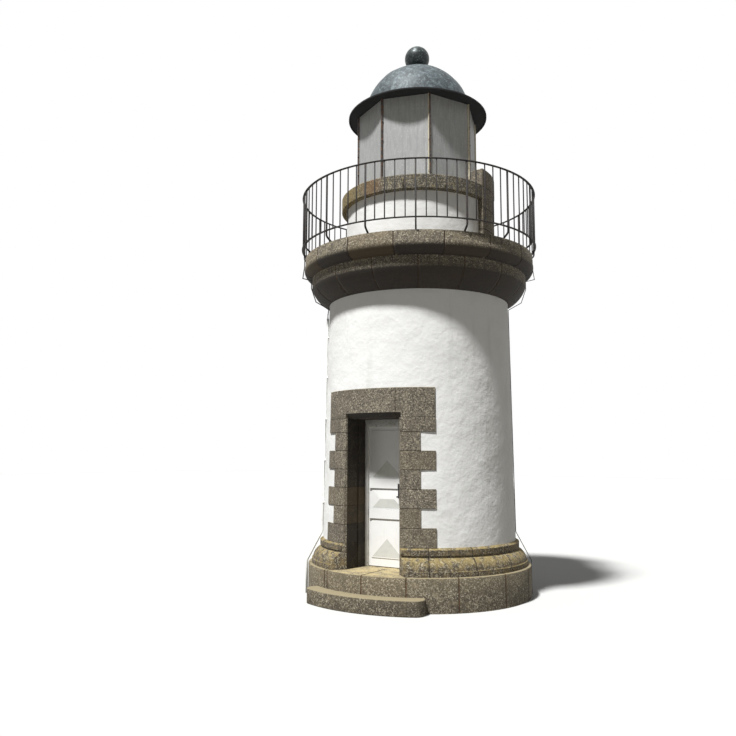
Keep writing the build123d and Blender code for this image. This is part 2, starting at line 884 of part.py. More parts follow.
def build():
    """Every piece of the lighthouse by name."""
    opening = doorway()
    pieces = {"plinth": plinth(), "entrance_step": entrance_step()}
    moulding = moulding_outline()
    pieces["base_moulding_left"] = swept_sector(moulding, -wall_joint_angle, 0) - opening
    pieces["base_moulding_right"] = swept_sector(moulding, 0, wall_joint_angle) - opening
    pieces["base_moulding_back"] = swept_sector(moulding, wall_joint_angle, full_turn - wall_joint_angle)
    pieces["door_jamb_left"] = quoin_stack(-1, opening)
    pieces["door_jamb_right"] = quoin_stack(1, opening)
    lintel_top = lintel_underside + lintel_height
    lintel_section = shaft_outline(lintel_underside, lintel_top, surround_proud)
    lintel = swept_sector(lintel_section, -long_stone_angle, long_stone_angle)
    pieces["door_lintel"] = lintel - opening
    pieces["shaft_wall_left"] = wall_beside_door(-1, pieces["door_jamb_left"])
    pieces["shaft_wall_right"] = wall_beside_door(1, pieces["door_jamb_right"])
    pieces["shaft_wall_back"] = swept_sector(
        shaft_outline(moulding_top, shaft_top), wall_joint_angle, full_turn - wall_joint_angle
    )
    pieces["shaft_wall_over_door"] = swept_sector(
        shaft_outline(lintel_top, shaft_top), -long_stone_angle, long_stone_angle
    )
    pieces["door_frame"] = door_frame()
    pieces["door_leaf"] = door_leaf()
    pieces["door_handle"] = door_handle()
    pieces["door_hinge_pins"] = hinge_pins()
    pieces["door_hinge_straps"] = hinge_straps()
    pieces["door_leaf"] -= pieces["door_handle"]
    for name, start in (("front", -90), ("back", 90)):
        pieces[f"cornice_{name}"] = swept_sector(cornice_outline(), start, start + full_turn / 2)
        pieces[f"gallery_course_{name}"] = swept_sector(gallery_outline(), start, start + full_turn / 2)
    floor_outline = ring_outline(0, room_radius, gallery_floor - upper_floor_thickness, gallery_floor)
    pieces["upper_floor"] = turned_body(floor_outline)
    surround_start = gallery_door_azimuth - gallery_surround_angle
    surround_end = gallery_door_azimuth + gallery_surround_angle
    drum_outline = ring_outline(drum_room_radius, drum_radius, gallery_floor, drum_top)
    drum_span = (full_turn - 2 * gallery_surround_angle) / 3
    for number, name in enumerate(("back", "left", "front")):
        start = surround_end + number * drum_span
        pieces[f"drum_wall_{name}"] = swept_sector(drum_outline, start, start + drum_span)
    gallery_cut = gallery_opening()
    pieces["gallery_jamb_front"] = gallery_jamb(-1, gallery_cut)
    pieces["gallery_jamb_back"] = gallery_jamb(1, gallery_cut)
    pieces["gallery_lintel"] = gallery_lintel()
    pieces["gallery_door"] = gallery_door()
    for number, name in enumerate(("back", "left", "front")):
        start = surround_end + number * drum_span
        pieces[f"coping_{name}"] = swept_sector(coping_outline(), start, start + drum_span)
    over_door = swept_sector(
        ring_outline(drum_room_radius, lintel_back, drum_top, coping_top),
        surround_start,
        surround_end,
    )
    pieces["lantern_curb"] = over_door - pieces["gallery_door"] - gallery_cut
    pieces["lantern_sill"] = lantern_sill()
    bars = lantern_bars()
    pieces["lantern_bars"] = bars
    pieces["lantern_panels"] = lantern_panels(bars)
    pieces["lantern_frieze"] = lantern_frieze(bars)
    pieces["brim"] = brim()
    pieces["dome"] = dome()
    collar = dome_collar()
    pieces["dome_collar"] = collar
    pieces["finial_ball"] = finial_ball(collar)
    quarter = first_post_azimuth + full_turn / posts / 2
    for number, name in enumerate(("right", "back", "left", "front")):
        pieces[f"railing_{name}"] = railing_quarter(quarter + number * full_turn / 4)
    pieces["conduit"] = conduit()
    pieces["service_cable"] = service_cable()
    pieces["lightning_conductor"] = lightning_conductor()
    return pieces


os.makedirs("parts", exist_ok=True)
for name, piece in build().items():
    export_step(piece, f"parts/{name}.step")
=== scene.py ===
"""Dresses a small stone lighthouse: granite courses, lime render, painted door, railing, lantern and dome."""

import logging
from dataclasses import dataclass
from enum import Enum
from math import asin, atan2, ceil, cos, degrees, hypot, pi, radians, sin, sqrt, tan

import bmesh
import bpy
from bmesh.types import BMEdge, BMesh, BMFace, BMVert
from bpy.types import Material, Node, NodeSocket, NodeTree
from mathutils import Matrix, Vector, noise


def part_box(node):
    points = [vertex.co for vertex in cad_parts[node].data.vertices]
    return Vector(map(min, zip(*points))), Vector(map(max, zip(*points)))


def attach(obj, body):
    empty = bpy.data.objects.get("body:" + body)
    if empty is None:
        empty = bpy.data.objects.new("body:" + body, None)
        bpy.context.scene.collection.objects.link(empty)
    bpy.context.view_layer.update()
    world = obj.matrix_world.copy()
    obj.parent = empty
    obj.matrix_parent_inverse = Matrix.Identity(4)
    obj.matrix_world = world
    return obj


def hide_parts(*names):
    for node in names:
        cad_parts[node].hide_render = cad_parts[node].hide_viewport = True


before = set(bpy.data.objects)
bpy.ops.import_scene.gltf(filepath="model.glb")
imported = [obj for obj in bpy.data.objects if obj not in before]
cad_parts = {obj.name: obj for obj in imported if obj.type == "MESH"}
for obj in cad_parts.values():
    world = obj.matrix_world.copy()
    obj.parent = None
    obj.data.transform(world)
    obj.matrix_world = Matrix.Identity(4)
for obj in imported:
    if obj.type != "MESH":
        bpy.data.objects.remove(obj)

LOG = logging.getLogger("lighthouse")
Point = tuple[float, float, float]


# Colour and nodes


def linear(code: str) -> tuple[float, float, float, float]:
    """Turns an sRGB hex colour into the linear colour that shaders take.

    Args:
        code: Colour such as "#a0b0c0".

    Returns:
        Red, green, blue and an alpha of 1.
    """
    parts = [int(code[i : i + 2], 16) / 255 for i in (1, 3, 5)]
    red, green, blue = (c / 12.92 if c <= 0.04045 else ((c + 0.055) / 1.055) ** 2.4 for c in parts)
    return (red, green, blue, 1.0)


def add_node(tree: NodeTree, kind: str, settings: dict | None = None, links: dict | None = None) -> Node:
    """Adds a node to a tree.

    Args:
        tree: Node tree of a material or the world.
        kind: Name of the node's type, without its prefix.
        settings: Properties to set on the node.
        links: For each input, the output socket to link or the value to set.

    Returns:
        The new node.
    """
    node = tree.nodes.new(f"ShaderNode{kind}")
    for name, value in (settings or {}).items():
        setattr(node, name, value)
    for key, value in (links or {}).items():
        if isinstance(value, NodeSocket):
            tree.links.new(value, node.inputs[key])
        else:
            node.inputs[key].default_value = value
    return node


class Grain(Enum):
    """How a layer of colour is broken up."""

    CLOUD = "soft patches"
    SPECK = "hard-edged crystals or chips"
    STREAK = "runs down the wall"


class Facing(Enum):
    """Which way a surface looks where a layer lies on it: upward tilts where it starts and is full."""

    ANY = (0.0, 0.0)
    UP = (0.1, 0.7)
    # Layers that face DOWN darken undersides as painted shade; on the cornice they are partly real damp stain
    # too.
    DOWN = (-0.03, -0.35)


@dataclass(frozen=True)
class Layer:
    """One colour that covers part of a finish.

    Cover is the share of the surface that it takes, strength how opaque it is, and edge how soft its border
    is. Reach limits it to a distance in metres round a place, and full_reach is the share of that where it
    is at full strength. Spread is how far the noise under soft patches strays from its middle, and stretch
    squeezes the pattern in height, so that patches become runs.
    """

    colour: str
    size_mm: float
    cover: float
    strength: float = 1.0
    grain: Grain = Grain.CLOUD
    facing: Facing = Facing.ANY
    edge: float = 0.05
    place: Point | None = None
    reach: float = 0.3
    spread: float = 0.17
    stretch: float = 0.1
    full_reach: float = 0.35

    def mask(self, tree: NodeTree, coords: NodeSocket) -> NodeSocket:
        """Makes the layer's mask.

        Args:
            tree: Node tree of the material.
            coords: Object coordinates.

        Returns:
            A socket that is 0 where the layer is absent.
        """
        if self.grain is Grain.STREAK:
            flow = {"Vector": coords, "Scale": (1.0, 1.0, self.stretch)}
            coords = add_node(tree, "Mapping", None, flow).outputs[0]
        pattern = {"Vector": coords, "Scale": 1000 / self.size_mm}
        if self.grain is Grain.SPECK:
            cells = add_node(tree, "TexVoronoi", None, pattern)
            value = add_node(tree, "SeparateColor", None, {0: cells.outputs["Color"]}).outputs[0]
            middle = 1 - self.cover
        else:
            pattern |= {"Detail": 5.0, "Roughness": 0.62}
            value = add_node(tree, "TexNoise", None, pattern).outputs[0]
            middle = 0.5 + self.spread * (1 - 2 * self.cover)
        span = {0: value, 1: middle - self.edge, 2: middle + self.edge, 4: self.strength}
        factor = add_node(tree, "MapRange", {"interpolation_type": "SMOOTHSTEP"}, span).outputs[0]
        limits = []
        if self.facing is not Facing.ANY:
            normal = add_node(tree, "NewGeometry").outputs["Normal"]
            tilt = add_node(tree, "SeparateXYZ", None, {0: normal}).outputs[2]
            limits.append((tilt, *self.facing.value))
        if self.place:
            apart = add_node(tree, "VectorMath", {"operation": "DISTANCE"}, {0: coords, 1: self.place})
            limits.append((apart.outputs[1], self.reach, self.reach * self.full_reach))
        for value, none, full in limits:
            share = add_node(tree, "MapRange", None, {0: value, 1: none, 2: full}).outputs[0]
            both = {0: factor, 1: share}
            factor = add_node(tree, "Math", {"operation": "MULTIPLY"}, both).outputs[0]
        return factor


@dataclass(frozen=True)
class Finish:
    """A real surface: its ground colour, the layers on it, its relief and its shine.

    Relief holds pairs of grain width and height in millimetres. Tone is how much stones differ from one
    another, and the shapes give each stone its own value. Warmth is the colour of its warmest stones.
    """

    name: str
    colour: str
    roughness: float
    layers: tuple[Layer, ...] = ()
    relief: tuple[tuple[float, float], ...] = ()
    metallic: float = 0.0
    tone: float = 0.0
    warmth: str = "#8f7a55"

    def material(self) -> Material:
        """Gives the finish as a material, made the first time that it is asked for.

        Returns:
            The material.
        """
        known = bpy.data.materials.get(self.name)
        if known:
            return known
        made = bpy.data.materials.new(self.name)
        made.use_nodes = True
        tree = made.node_tree
        tree.nodes.clear()
        coords = add_node(tree, "TexCoord").outputs["Object"]
        colour = linear(self.colour)
        for layer in self.layers:
            mix = {0: layer.mask(tree, coords), 6: colour, 7: linear(layer.colour)}
            colour = add_node(tree, "Mix", {"data_type": "RGBA"}, mix).outputs[2]
        if self.tone:
            shade = add_node(tree, "Attribute", {"attribute_name": "stone_tone"}).outputs["Fac"]
            span = {0: shade, 3: 1 - self.tone, 4: 1 + self.tone}
            value = add_node(tree, "MapRange", None, span).outputs[0]
            shaded = {"Value": value, "Color": colour}
            colour = add_node(tree, "HueSaturation", None, shaded).outputs[0]
            tint = add_node(tree, "Attribute", {"attribute_name": "stone_warmth"}).outputs["Fac"]
            mix = {0: tint, 6: colour, 7: linear(self.warmth)}
            colour = add_node(tree, "Mix", {"data_type": "RGBA"}, mix).outputs[2]
        given = {"Base Color": colour, "Roughness": self.roughness, "Metallic": self.metallic}
        for width, height in self.relief:
            pattern = {"Vector": coords, "Scale": 1000 / width, "Detail": 3.0}
            grain = add_node(tree, "TexNoise", None, pattern).outputs[0]
            bump = {"Height": grain, "Distance": height / 1000, "Strength": 1.0}
            if "Normal" in given:
                bump["Normal"] = given["Normal"]
            given["Normal"] = add_node(tree, "Bump", None, bump).outputs[0]
        shader = add_node(tree, "BsdfPrincipled", None, given)
        add_node(tree, "OutputMaterial", None, {"Surface": shader.outputs[0]})
        return made


SPECK, STREAK, UP, DOWN = Grain.SPECK, Grain.STREAK, Facing.UP, Facing.DOWN

# Grey-brown granite with a hammered face: crystals of pale feldspar and black mica, drawn 11 to 14 mm wide,
# about twice their real width, so that the salt and pepper shows from several steps away.
CRYSTALS = (
    Layer("#9a917e", 14, 0.28, 0.62, SPECK, edge=0.02),
    Layer("#2f2a24", 13, 0.28, 0.70, SPECK, edge=0.02),
    Layer("#bdb5a0", 11, 0.07, 0.65, SPECK, edge=0.02),
)
HAMMERED = ((30, 3.0), (9, 1.4))
GRANITE = Finish("hammered_granite", "#676054", 0.9, CRYSTALS + (
    Layer("#544c41", 320, 0.35, 0.45),
    Layer("#958c79", 75, 0.14, 0.4),
    Layer("#8f8364", 90, 0.62, 0.6, facing=UP),
    # Near black on every face that looks down, such as the lintel's underside: painted shade.
    Layer("#14110e", 200, 1.6, 0.9, facing=DOWN),
), HAMMERED, tone=0.09, warmth="#75694f")
# The same granite inside the doorway, darkened all over as painted shade of the deep doorway.
SHADED_REVEAL_GRANITE = Finish("painted_shade_reveal_granite", "#38322a", 0.92, (
    Layer("#57503f", 11, 0.24, 0.5, SPECK, edge=0.02),
    Layer("#1c1814", 10, 0.30, 0.6, SPECK, edge=0.02),
    Layer("#1a1612", 260, 0.5, 0.6),
), HAMMERED, tone=0.08)
# Plinth and step: the same stone, browned by splashed soil, and pale tan where feet and rain scour the tops.
FOOT_GRANITE = Finish("soil_browned_granite", "#5b5344", 0.9, CRYSTALS + (
    Layer("#463f33", 300, 0.36, 0.5),
    Layer("#84795f", 90, 0.16, 0.45),
    Layer("#8f8468", 110, 1.2, 0.85, facing=UP),
), HAMMERED, tone=0.09, warmth="#7a6a48")
# The same granite where sun and rain feed pale yellow lichen on every ledge; its faces that look down are
# darkened to near black as painted shade.
LICHEN_GRANITE = Finish("lichened_granite", "#4f4738", 0.9, CRYSTALS + (
    Layer("#7a6a48", 90, 0.40, 0.5),
    Layer("#93824f", 90, 0.6, 0.5, facing=UP),
    Layer("#bdb08a", 34, 0.24, 0.5, facing=UP),
    Layer("#6b5236", 60, 0.10, 0.45),
    Layer("#221d16", 120, 1.4, 0.85, facing=DOWN),
), HAMMERED, tone=0.10, warmth="#a08a52")
# Granite of the cornice: clean grey-tan on its outer faces, and brown-black on its undersides, partly real
# damp stain and partly painted shade.
DAMP_AND_SHADED_GRANITE = Finish("damp_stained_and_shaded_granite", "#5b5448", 0.9, CRYSTALS + (
    Layer("#7c735e", 95, 0.3, 0.45),
    Layer("#1b150f", 210, 2.0, 0.96, facing=DOWN),
    Layer("#2e2217", 160, 0.3, 0.5, facing=DOWN),
    Layer("#8f866c", 70, 0.3, 0.5, facing=UP),
), HAMMERED, tone=0.07)
# Granite of the drum's coping: grey, speckled with yellow lichen, and a little rusty under a lantern bar.
COPING_GRANITE = Finish("speckled_coping_granite", "#545047", 0.9, CRYSTALS + (
    Layer("#8d7c4c", 30, 0.18, 0.6),
    Layer("#b5ac88", 15, 0.12, 0.65),
    Layer("#8a7636", 36, 0.7, 0.5, place=(-0.80, -0.90, 5.62), reach=0.75),
    Layer("#75552f", 60, 1.2, 0.5, place=(-0.13, -1.13, 5.62), reach=0.22),
), HAMMERED, tone=0.10)
# Granite of the floors inside the doorways: scoured smooth and tan by feet, so its crystals hardly show.
FLOOR_STONE = Finish("worn_floor_stone", "#9a8c69", 0.85, CRYSTALS[:2] + (
    Layer("#b5a478", 150, 0.55, 0.6),
    Layer("#6f6450", 200, 0.3, 0.4),
), ((20, 2.0),))
# Lime mortar that iron and damp have browned, set back so that each joint reads as a thin dark line.
MORTAR = Finish("browned_lime_mortar", "#42352a", 0.95, (Layer("#241c16", 60, 0.5, 0.6),), ((6, 1.0),))
# Mortar of the plinth and cornice, wider and rusty where water has washed through it.
RUSTY_MORTAR = Finish("rusty_lime_mortar", "#5a4026", 0.95, (Layer("#33261b", 50, 0.45, 0.7),), ((6, 1.0),))
# Lime render under many coats of limewash: bright, matt and softly lumpy from the trowel.
RENDER = Finish("limewashed_render", "#e9e9e7", 0.94, (
    Layer("#dbdbd7", 520, 0.36, 0.35, edge=0.12),
    Layer("#c9c9c4", 200, 0.08, 0.3, STREAK, edge=0.08),
), ((150, 9.0), (50, 3.5), (14, 0.8)))
# Gloss oil paint on planed timber, brushed along the grain: white, with a soft shine and faint grey dirt.
GLOSS_PAINT = Finish("white_gloss_paint", "#ececea", 0.32, (
    Layer("#dcddd9", 240, 0.3, 0.3, edge=0.1),
    Layer("#cfd0ca", 14, 0.16, 0.2, STREAK),
), ((9, 0.15),))
# Dark grey on the steep sides of the leaf's panels and rails, which draws every panel and rail with a dark
# line: painted shade.
GROOVE_SHADE = Finish("painted_shade_groove", "#4b4a46", 0.8, (Layer("#2b2a28", 40, 0.4, 0.6),))
# The same white paint, a shade greyer, on the panels' facets that slope down: painted shade.
SHADED_FACET_PAINT = Finish("painted_shade_panel_facets", "#d0d1cb", 0.36, (Layer("#c2c3bc", 120, 0.4, 0.4),), ((9, 0.15),))
# The frame's paint is a shade greyer and less shiny than the leaf's, with darker grey patches.
FRAME_PAINT = Finish("grey_white_frame_paint", "#cfcfca", 0.42, (
    Layer("#9d9d96", 120, 0.3, 0.4, edge=0.1),
    Layer("#857f74", 30, 0.1, 0.5),
), ((12, 0.3),))
# Grey oil paint on upright boards: half dull with weather, and streaked down the grain of the timber.
GREY_PAINT = Finish("grey_door_paint", "#8e918f", 0.5, (
    Layer("#737573", 60, 0.4, 0.4, STREAK),
    Layer("#a5a7a4", 30, 0.2, 0.3),
), ((10, 0.3),))
# Black enamel on cast iron, worn grey where hands touch it.
BLACK_IRON = Finish("black_enamelled_iron", "#1b1a19", 0.42, (
    Layer("#4a4846", 12, 0.16, 0.6),
    Layer("#5a3a24", 25, 0.1, 0.4),
), ((8, 0.3),))
# Wrought iron under old black paint, through which brown rust bleeds in patches.
RAIL_IRON = Finish("rusted_black_wrought_iron", "#12100f", 0.7, (
    Layer("#3d281b", 38, 0.22, 0.6),
    Layer("#2f2b28", 22, 0.2, 0.5),
    Layer("#6b4528", 14, 0.07, 0.5),
), ((9, 0.7),))
# Zinc panels of the blind lantern, painted light grey and chalked by the weather in faint upright runs.
PANEL_PAINT = Finish("chalked_grey_zinc_paint", "#9fa09e", 0.55, (
    Layer("#85878a", 34, 0.36, 0.45, STREAK, edge=0.1),
    Layer("#b3b4b3", 20, 0.3, 0.5, STREAK, edge=0.1),
    Layer("#8f9090", 420, 0.3, 0.3, edge=0.12),
    Layer("#cfcfcd", 9, 0.04, 0.5, SPECK, edge=0.02),
), ((16, 0.4),))
# Cast iron bars of the lantern: dark and pitted where the paint is gone, and rusty brown round the bolts. On
# the faces that look ahead and to the right the dark is partly painted shade.
BAR_IRON = Finish("pitted_and_shaded_lantern_iron", "#2b2724", 0.65, (
    Layer("#6b4527", 30, 0.34, 0.75),
    Layer("#8c867a", 16, 0.12, 0.6),
), ((8, 1.0),))
# Cream oil paint on the bars' faces that look round towards the left: partly what is left of real paint,
# partly painted light on the sunlit side.
LIT_SIDE_BAR_PAINT = Finish("cream_paint_and_painted_light_bar", "#c9c2aa", 0.5, (
    Layer("#6b4a2e", 26, 0.2, 0.8),
    Layer("#a9a28c", 60, 0.4, 0.4),
), ((9, 0.5),))
# Sheet metal of the dome, with a mottled grey-green patina that is pale where the rain washes it.
DOME_METAL = Finish("mottled_patina_sheet", "#454e52", 0.6, (
    Layer("#242a2d", 110, 0.40, 0.7),
    Layer("#6f7c80", 62, 0.30, 0.65),
    Layer("#94a1a4", 22, 0.10, 0.6),
    Layer("#272d30", 34, 0.26, 0.65, STREAK),
), ((40, 1.2),), metallic=0.2)
# Brim of the same sheet under black bitumen paint, pure black on its underside as painted shade.
BRIM_SHADED_METAL = Finish("black_bitumen_sheet_painted_shade", "#0b0b0b", 1.0, (
    Layer("#3d4443", 90, 0.45, 0.6, facing=UP),
    Layer("#020202", 90, 2.0, 1.0, facing=DOWN),
), ((20, 0.4),))
# Hollow ball of dark patinated copper, streaked grey-green on its crown.
FINIAL_METAL = Finish("dark_patinated_copper", "#1f2426", 0.42, (
    Layer("#5c6a68", 46, 0.4, 0.7, facing=UP),
    Layer("#3a4745", 38, 0.35, 0.7),
    Layer("#8d9a97", 22, 0.1, 0.7),
), ((20, 0.6),), metallic=0.5)
# Plastic-coated steel pipe: plain white, a little greyed.
PIPE_WHITE = Finish("white_coated_pipe", "#e2e2df", 0.4, (Layer("#b9b7ae", 60, 0.22, 0.5),), ((12, 0.2),))
# Moulded plastic sheath of a cable: black with a low shine, and dulled by patches of brown dust.
CABLE_BLACK = Finish("black_cable_sheath", "#1c1a19", 0.5, (Layer("#3d352d", 40, 0.3, 0.6),), ((10, 0.3),))


# Shapes


def whole(bm: BMesh) -> list:
    """Returns every vertex, edge and face of a mesh."""
    return bm.verts[:] + bm.edges[:] + bm.faces[:]


def only(kind: type, items: list) -> list:
    """Returns the items of one kind among what an operator made."""
    return [item for item in items if isinstance(item, kind)]


def compass(azimuth: float) -> Vector:
    """Returns the level direction at an azimuth in degrees, 0 at the entrance and growing towards +X."""
    return Vector((sin(radians(azimuth)), -cos(radians(azimuth)), 0))


def azimuth_of(point: Vector) -> float:
    """Returns a point's azimuth, from -180 to 180 degrees."""
    return degrees(atan2(point.x, -point.y))


def turn_to(azimuth: float) -> Matrix:
    """Returns the turn about the tower's axis that brings the entrance's side to an azimuth."""
    return Matrix.Rotation(radians(azimuth), 4, "Z")


def spaced(first: float, pitch: float, count: int) -> tuple[float, ...]:
    """Returns azimuths in degrees at equal steps from the first."""
    return tuple(first + pitch * number for number in range(count))


def solid_copy(node: str) -> BMesh:
    """Copies a solid from the frame and merges the corners of its triangles.

    Args:
        node: Name of the solid.

    Returns:
        A new mesh.
    """
    bm = bmesh.new()
    bm.from_mesh(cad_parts[node].data)
    bmesh.ops.remove_doubles(bm, verts=bm.verts, dist=2e-5)
    return bm


def join_flat(bm: BMesh) -> None:
    """Joins the triangles of each flat face, and keeps the borders between finishes."""
    flat = radians(0.15)
    bmesh.ops.dissolve_limit(bm, angle_limit=flat, verts=bm.verts, edges=bm.edges, delimit={"MATERIAL"})


def sweep(bm: BMesh, geom: list, angle: float, steps: int) -> list:
    """Spins a line or section about the tower's axis.

    Args:
        bm: Mesh to change.
        geom: What to spin.
        angle: How far, in degrees.
        steps: How many steps make the turn.

    Returns:
        The far end of what was made.
    """
    turn = radians(angle)
    made = bmesh.ops.spin(bm, geom=geom, cent=(0, 0, 0), axis=(0, 0, 1), angle=turn, steps=steps)
    return made["geom_last"]


def turned(profile: list[tuple[float, float]], steps: int = 180) -> BMesh:
    """Turns a closed outline all the way round the tower's axis.

    Args:
        profile: Points of radius and height in metres, in order.
        steps: How many steps make the full turn.

    Returns:
        A new mesh. Points on the axis are merged into poles.
    """
    bm = bmesh.new()
    verts = [bm.verts.new((0, -radius, height)) for radius, height in profile]
    edges = [bm.edges.new(pair) for pair in zip(verts, verts[1:])]
    if all(radius > 1e-6 for radius, height in profile):
        edges.append(bm.edges.new((verts[-1], verts[0])))
    bmesh.ops.spin(
        bm, geom=verts + edges, cent=(0, 0, 0), axis=(0, 0, 1), angle=2 * pi, steps=steps, use_merge=True
    )
    bmesh.ops.remove_doubles(bm, verts=bm.verts, dist=1e-5)
    bmesh.ops.recalc_face_normals(bm, faces=bm.faces)
    return bm


def extrude(bm: BMesh, faces: list[BMFace], move: Vector) -> list[BMFace]:
    """Extrudes faces along a vector.

    Args:
        bm: Mesh to change.
        faces: Faces to extrude.
        move: How far, in metres.

    Returns:
        The new end's faces.
    """
    made = bmesh.ops.extrude_face_region(bm, geom=faces)["geom"]
    bmesh.ops.translate(bm, vec=move, verts=only(BMVert, made))
    return only(BMFace, made)


def block(low: Point, high: Point) -> BMesh:
    """Makes a box between two corners.

    Args:
        low: Lowest corner in metres.
        high: Highest corner in metres.

    Returns:
        A new mesh.
    """
    bm = bmesh.new()
    bmesh.ops.create_cube(bm, size=1)
    bmesh.ops.scale(bm, vec=Vector(high) - Vector(low), verts=bm.verts)
    bmesh.ops.translate(bm, vec=(Vector(high) + Vector(low)) / 2, verts=bm.verts)
    return bm


def add_rod(bm: BMesh, length: float, radii: tuple[float, float], place: Matrix, segments: int) -> None:
    """Adds a capped rod or cone about its own Z axis.

    Args:
        bm: Mesh to change.
        length: Length in metres.
        radii: Radius at its start and at its end.
        place: Matrix that puts its middle in place.
        segments: How many sides it has.
    """
    start, end = radii
    bmesh.ops.create_cone(
        bm, cap_ends=True, segments=segments, radius1=start, radius2=end, depth=length, matrix=place
    )


def round_edges(bm: BMesh, edges: list[BMEdge], width: float, segments: int, clamp: bool = True) -> None:
    """Rounds edges.

    Args:
        bm: Mesh to change.
        edges: Edges to round.
        width: How far the rounding reaches, in metres.
        segments: Steps in each rounding.
        clamp: Whether short neighbours hold the rounding back.
    """
    bmesh.ops.bevel(
        bm, geom=edges, offset=width, offset_type="OFFSET", affect="EDGES", segments=segments,
        profile=0.5, material=-1, clamp_overlap=clamp,
    )


def soften(bm: BMesh, width: float, angle: float = 60, segments: int = 1, keep: int = -1) -> None:
    """Rounds the sharp edges of a mesh.

    Args:
        bm: Mesh to change.
        width: How far the rounding reaches, in metres.
        angle: Least angle in degrees at which an edge counts as sharp.
        segments: Steps in each rounding.
        keep: Material index whose edges stay crisp.
    """
    join_flat(bm)
    sharp = [
        edge
        for edge in bm.edges
        if len(edge.link_faces) == 2
        and edge.calc_face_angle(0) > radians(angle)
        and edge.calc_length() > width
        and all(face.material_index != keep for face in edge.link_faces)
    ]
    round_edges(bm, sharp, width, segments)


def scatter(shape: BMesh, places: list[Matrix]) -> BMesh:
    """Copies a shape to many places.

    Args:
        shape: Mesh to copy. It is freed.
        places: A matrix for each copy.

    Returns:
        A new mesh that holds the copies.
    """
    mesh = bpy.data.meshes.new("scattered_shape")
    shape.to_mesh(mesh)
    shape.free()
    bm = bmesh.new()
    for place in places:
        start = len(bm.verts)
        bm.from_mesh(mesh)
        bm.verts.ensure_lookup_table()
        bmesh.ops.transform(bm, matrix=place, verts=bm.verts[start:])
    bpy.data.meshes.remove(mesh)
    return bm


def join(first: BMesh, *others: BMesh) -> BMesh:
    """Joins meshes into the first one and frees the others.

    Args:
        first: Mesh that takes the others.
        others: Meshes to add.

    Returns:
        The first mesh.
    """
    for other in others:
        mesh = bpy.data.meshes.new("joined_shape")
        other.to_mesh(mesh)
        other.free()
        first.from_mesh(mesh)
        bpy.data.meshes.remove(mesh)
    return first


def finish_piece(
    bm: BMesh,
    name: str,
    finishes: list[Finish],
    nodes: tuple[str, ...],
    body: str = "tower",
    smooth: float = 32,
) -> None:
    """Turns a mesh into a piece of the lighthouse.

    Args:
        bm: Mesh in metres, in the frame. It is freed.
        name: Name of the piece.
        finishes: Finishes by material index.
        nodes: Solids that the piece stands for.
        body: Body that the piece moves with.
        smooth: Edges sharper than this angle in degrees stay crisp.
    """
    mesh = bpy.data.meshes.new(name)
    for face in bm.faces:
        face.smooth = True
    bm.to_mesh(mesh)
    bm.free()
    mesh.set_sharp_from_angle(angle=radians(smooth))
    for finish in finishes:
        mesh.materials.append(finish.material())
    piece = bpy.data.objects.new(name, mesh)
    bpy.context.scene.collection.objects.link(piece)
    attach(piece, body)
    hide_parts(*nodes)
    LOG.info("%s: %d faces", name, len(mesh.polygons))


def dress_solid(node: str, finish: Finish) -> None:
    """Gives a solid that stays as it is a finish in place of its plain colour.

    Args:
        node: Name of the solid.
        finish: Its finish.
    """
    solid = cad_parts[node]
    solid.data.materials.clear()
    solid.data.materials.append(finish.material())
    LOG.info("%s: solid kept", node)


# How far apart neighbouring columns, rows and courses lie in the noise that gives stones their tone, and
# how far their warmth lies from it. More joints than CLOSED_RING go all the way round the tower.
COLUMN_STEP, ROW_STEP, COURSE_STEP = 3.7, 5.3, 1.9
WARMTH_SHIFT = Vector((31.4, 7.7, 2.2))
CLOSED_RING = 8


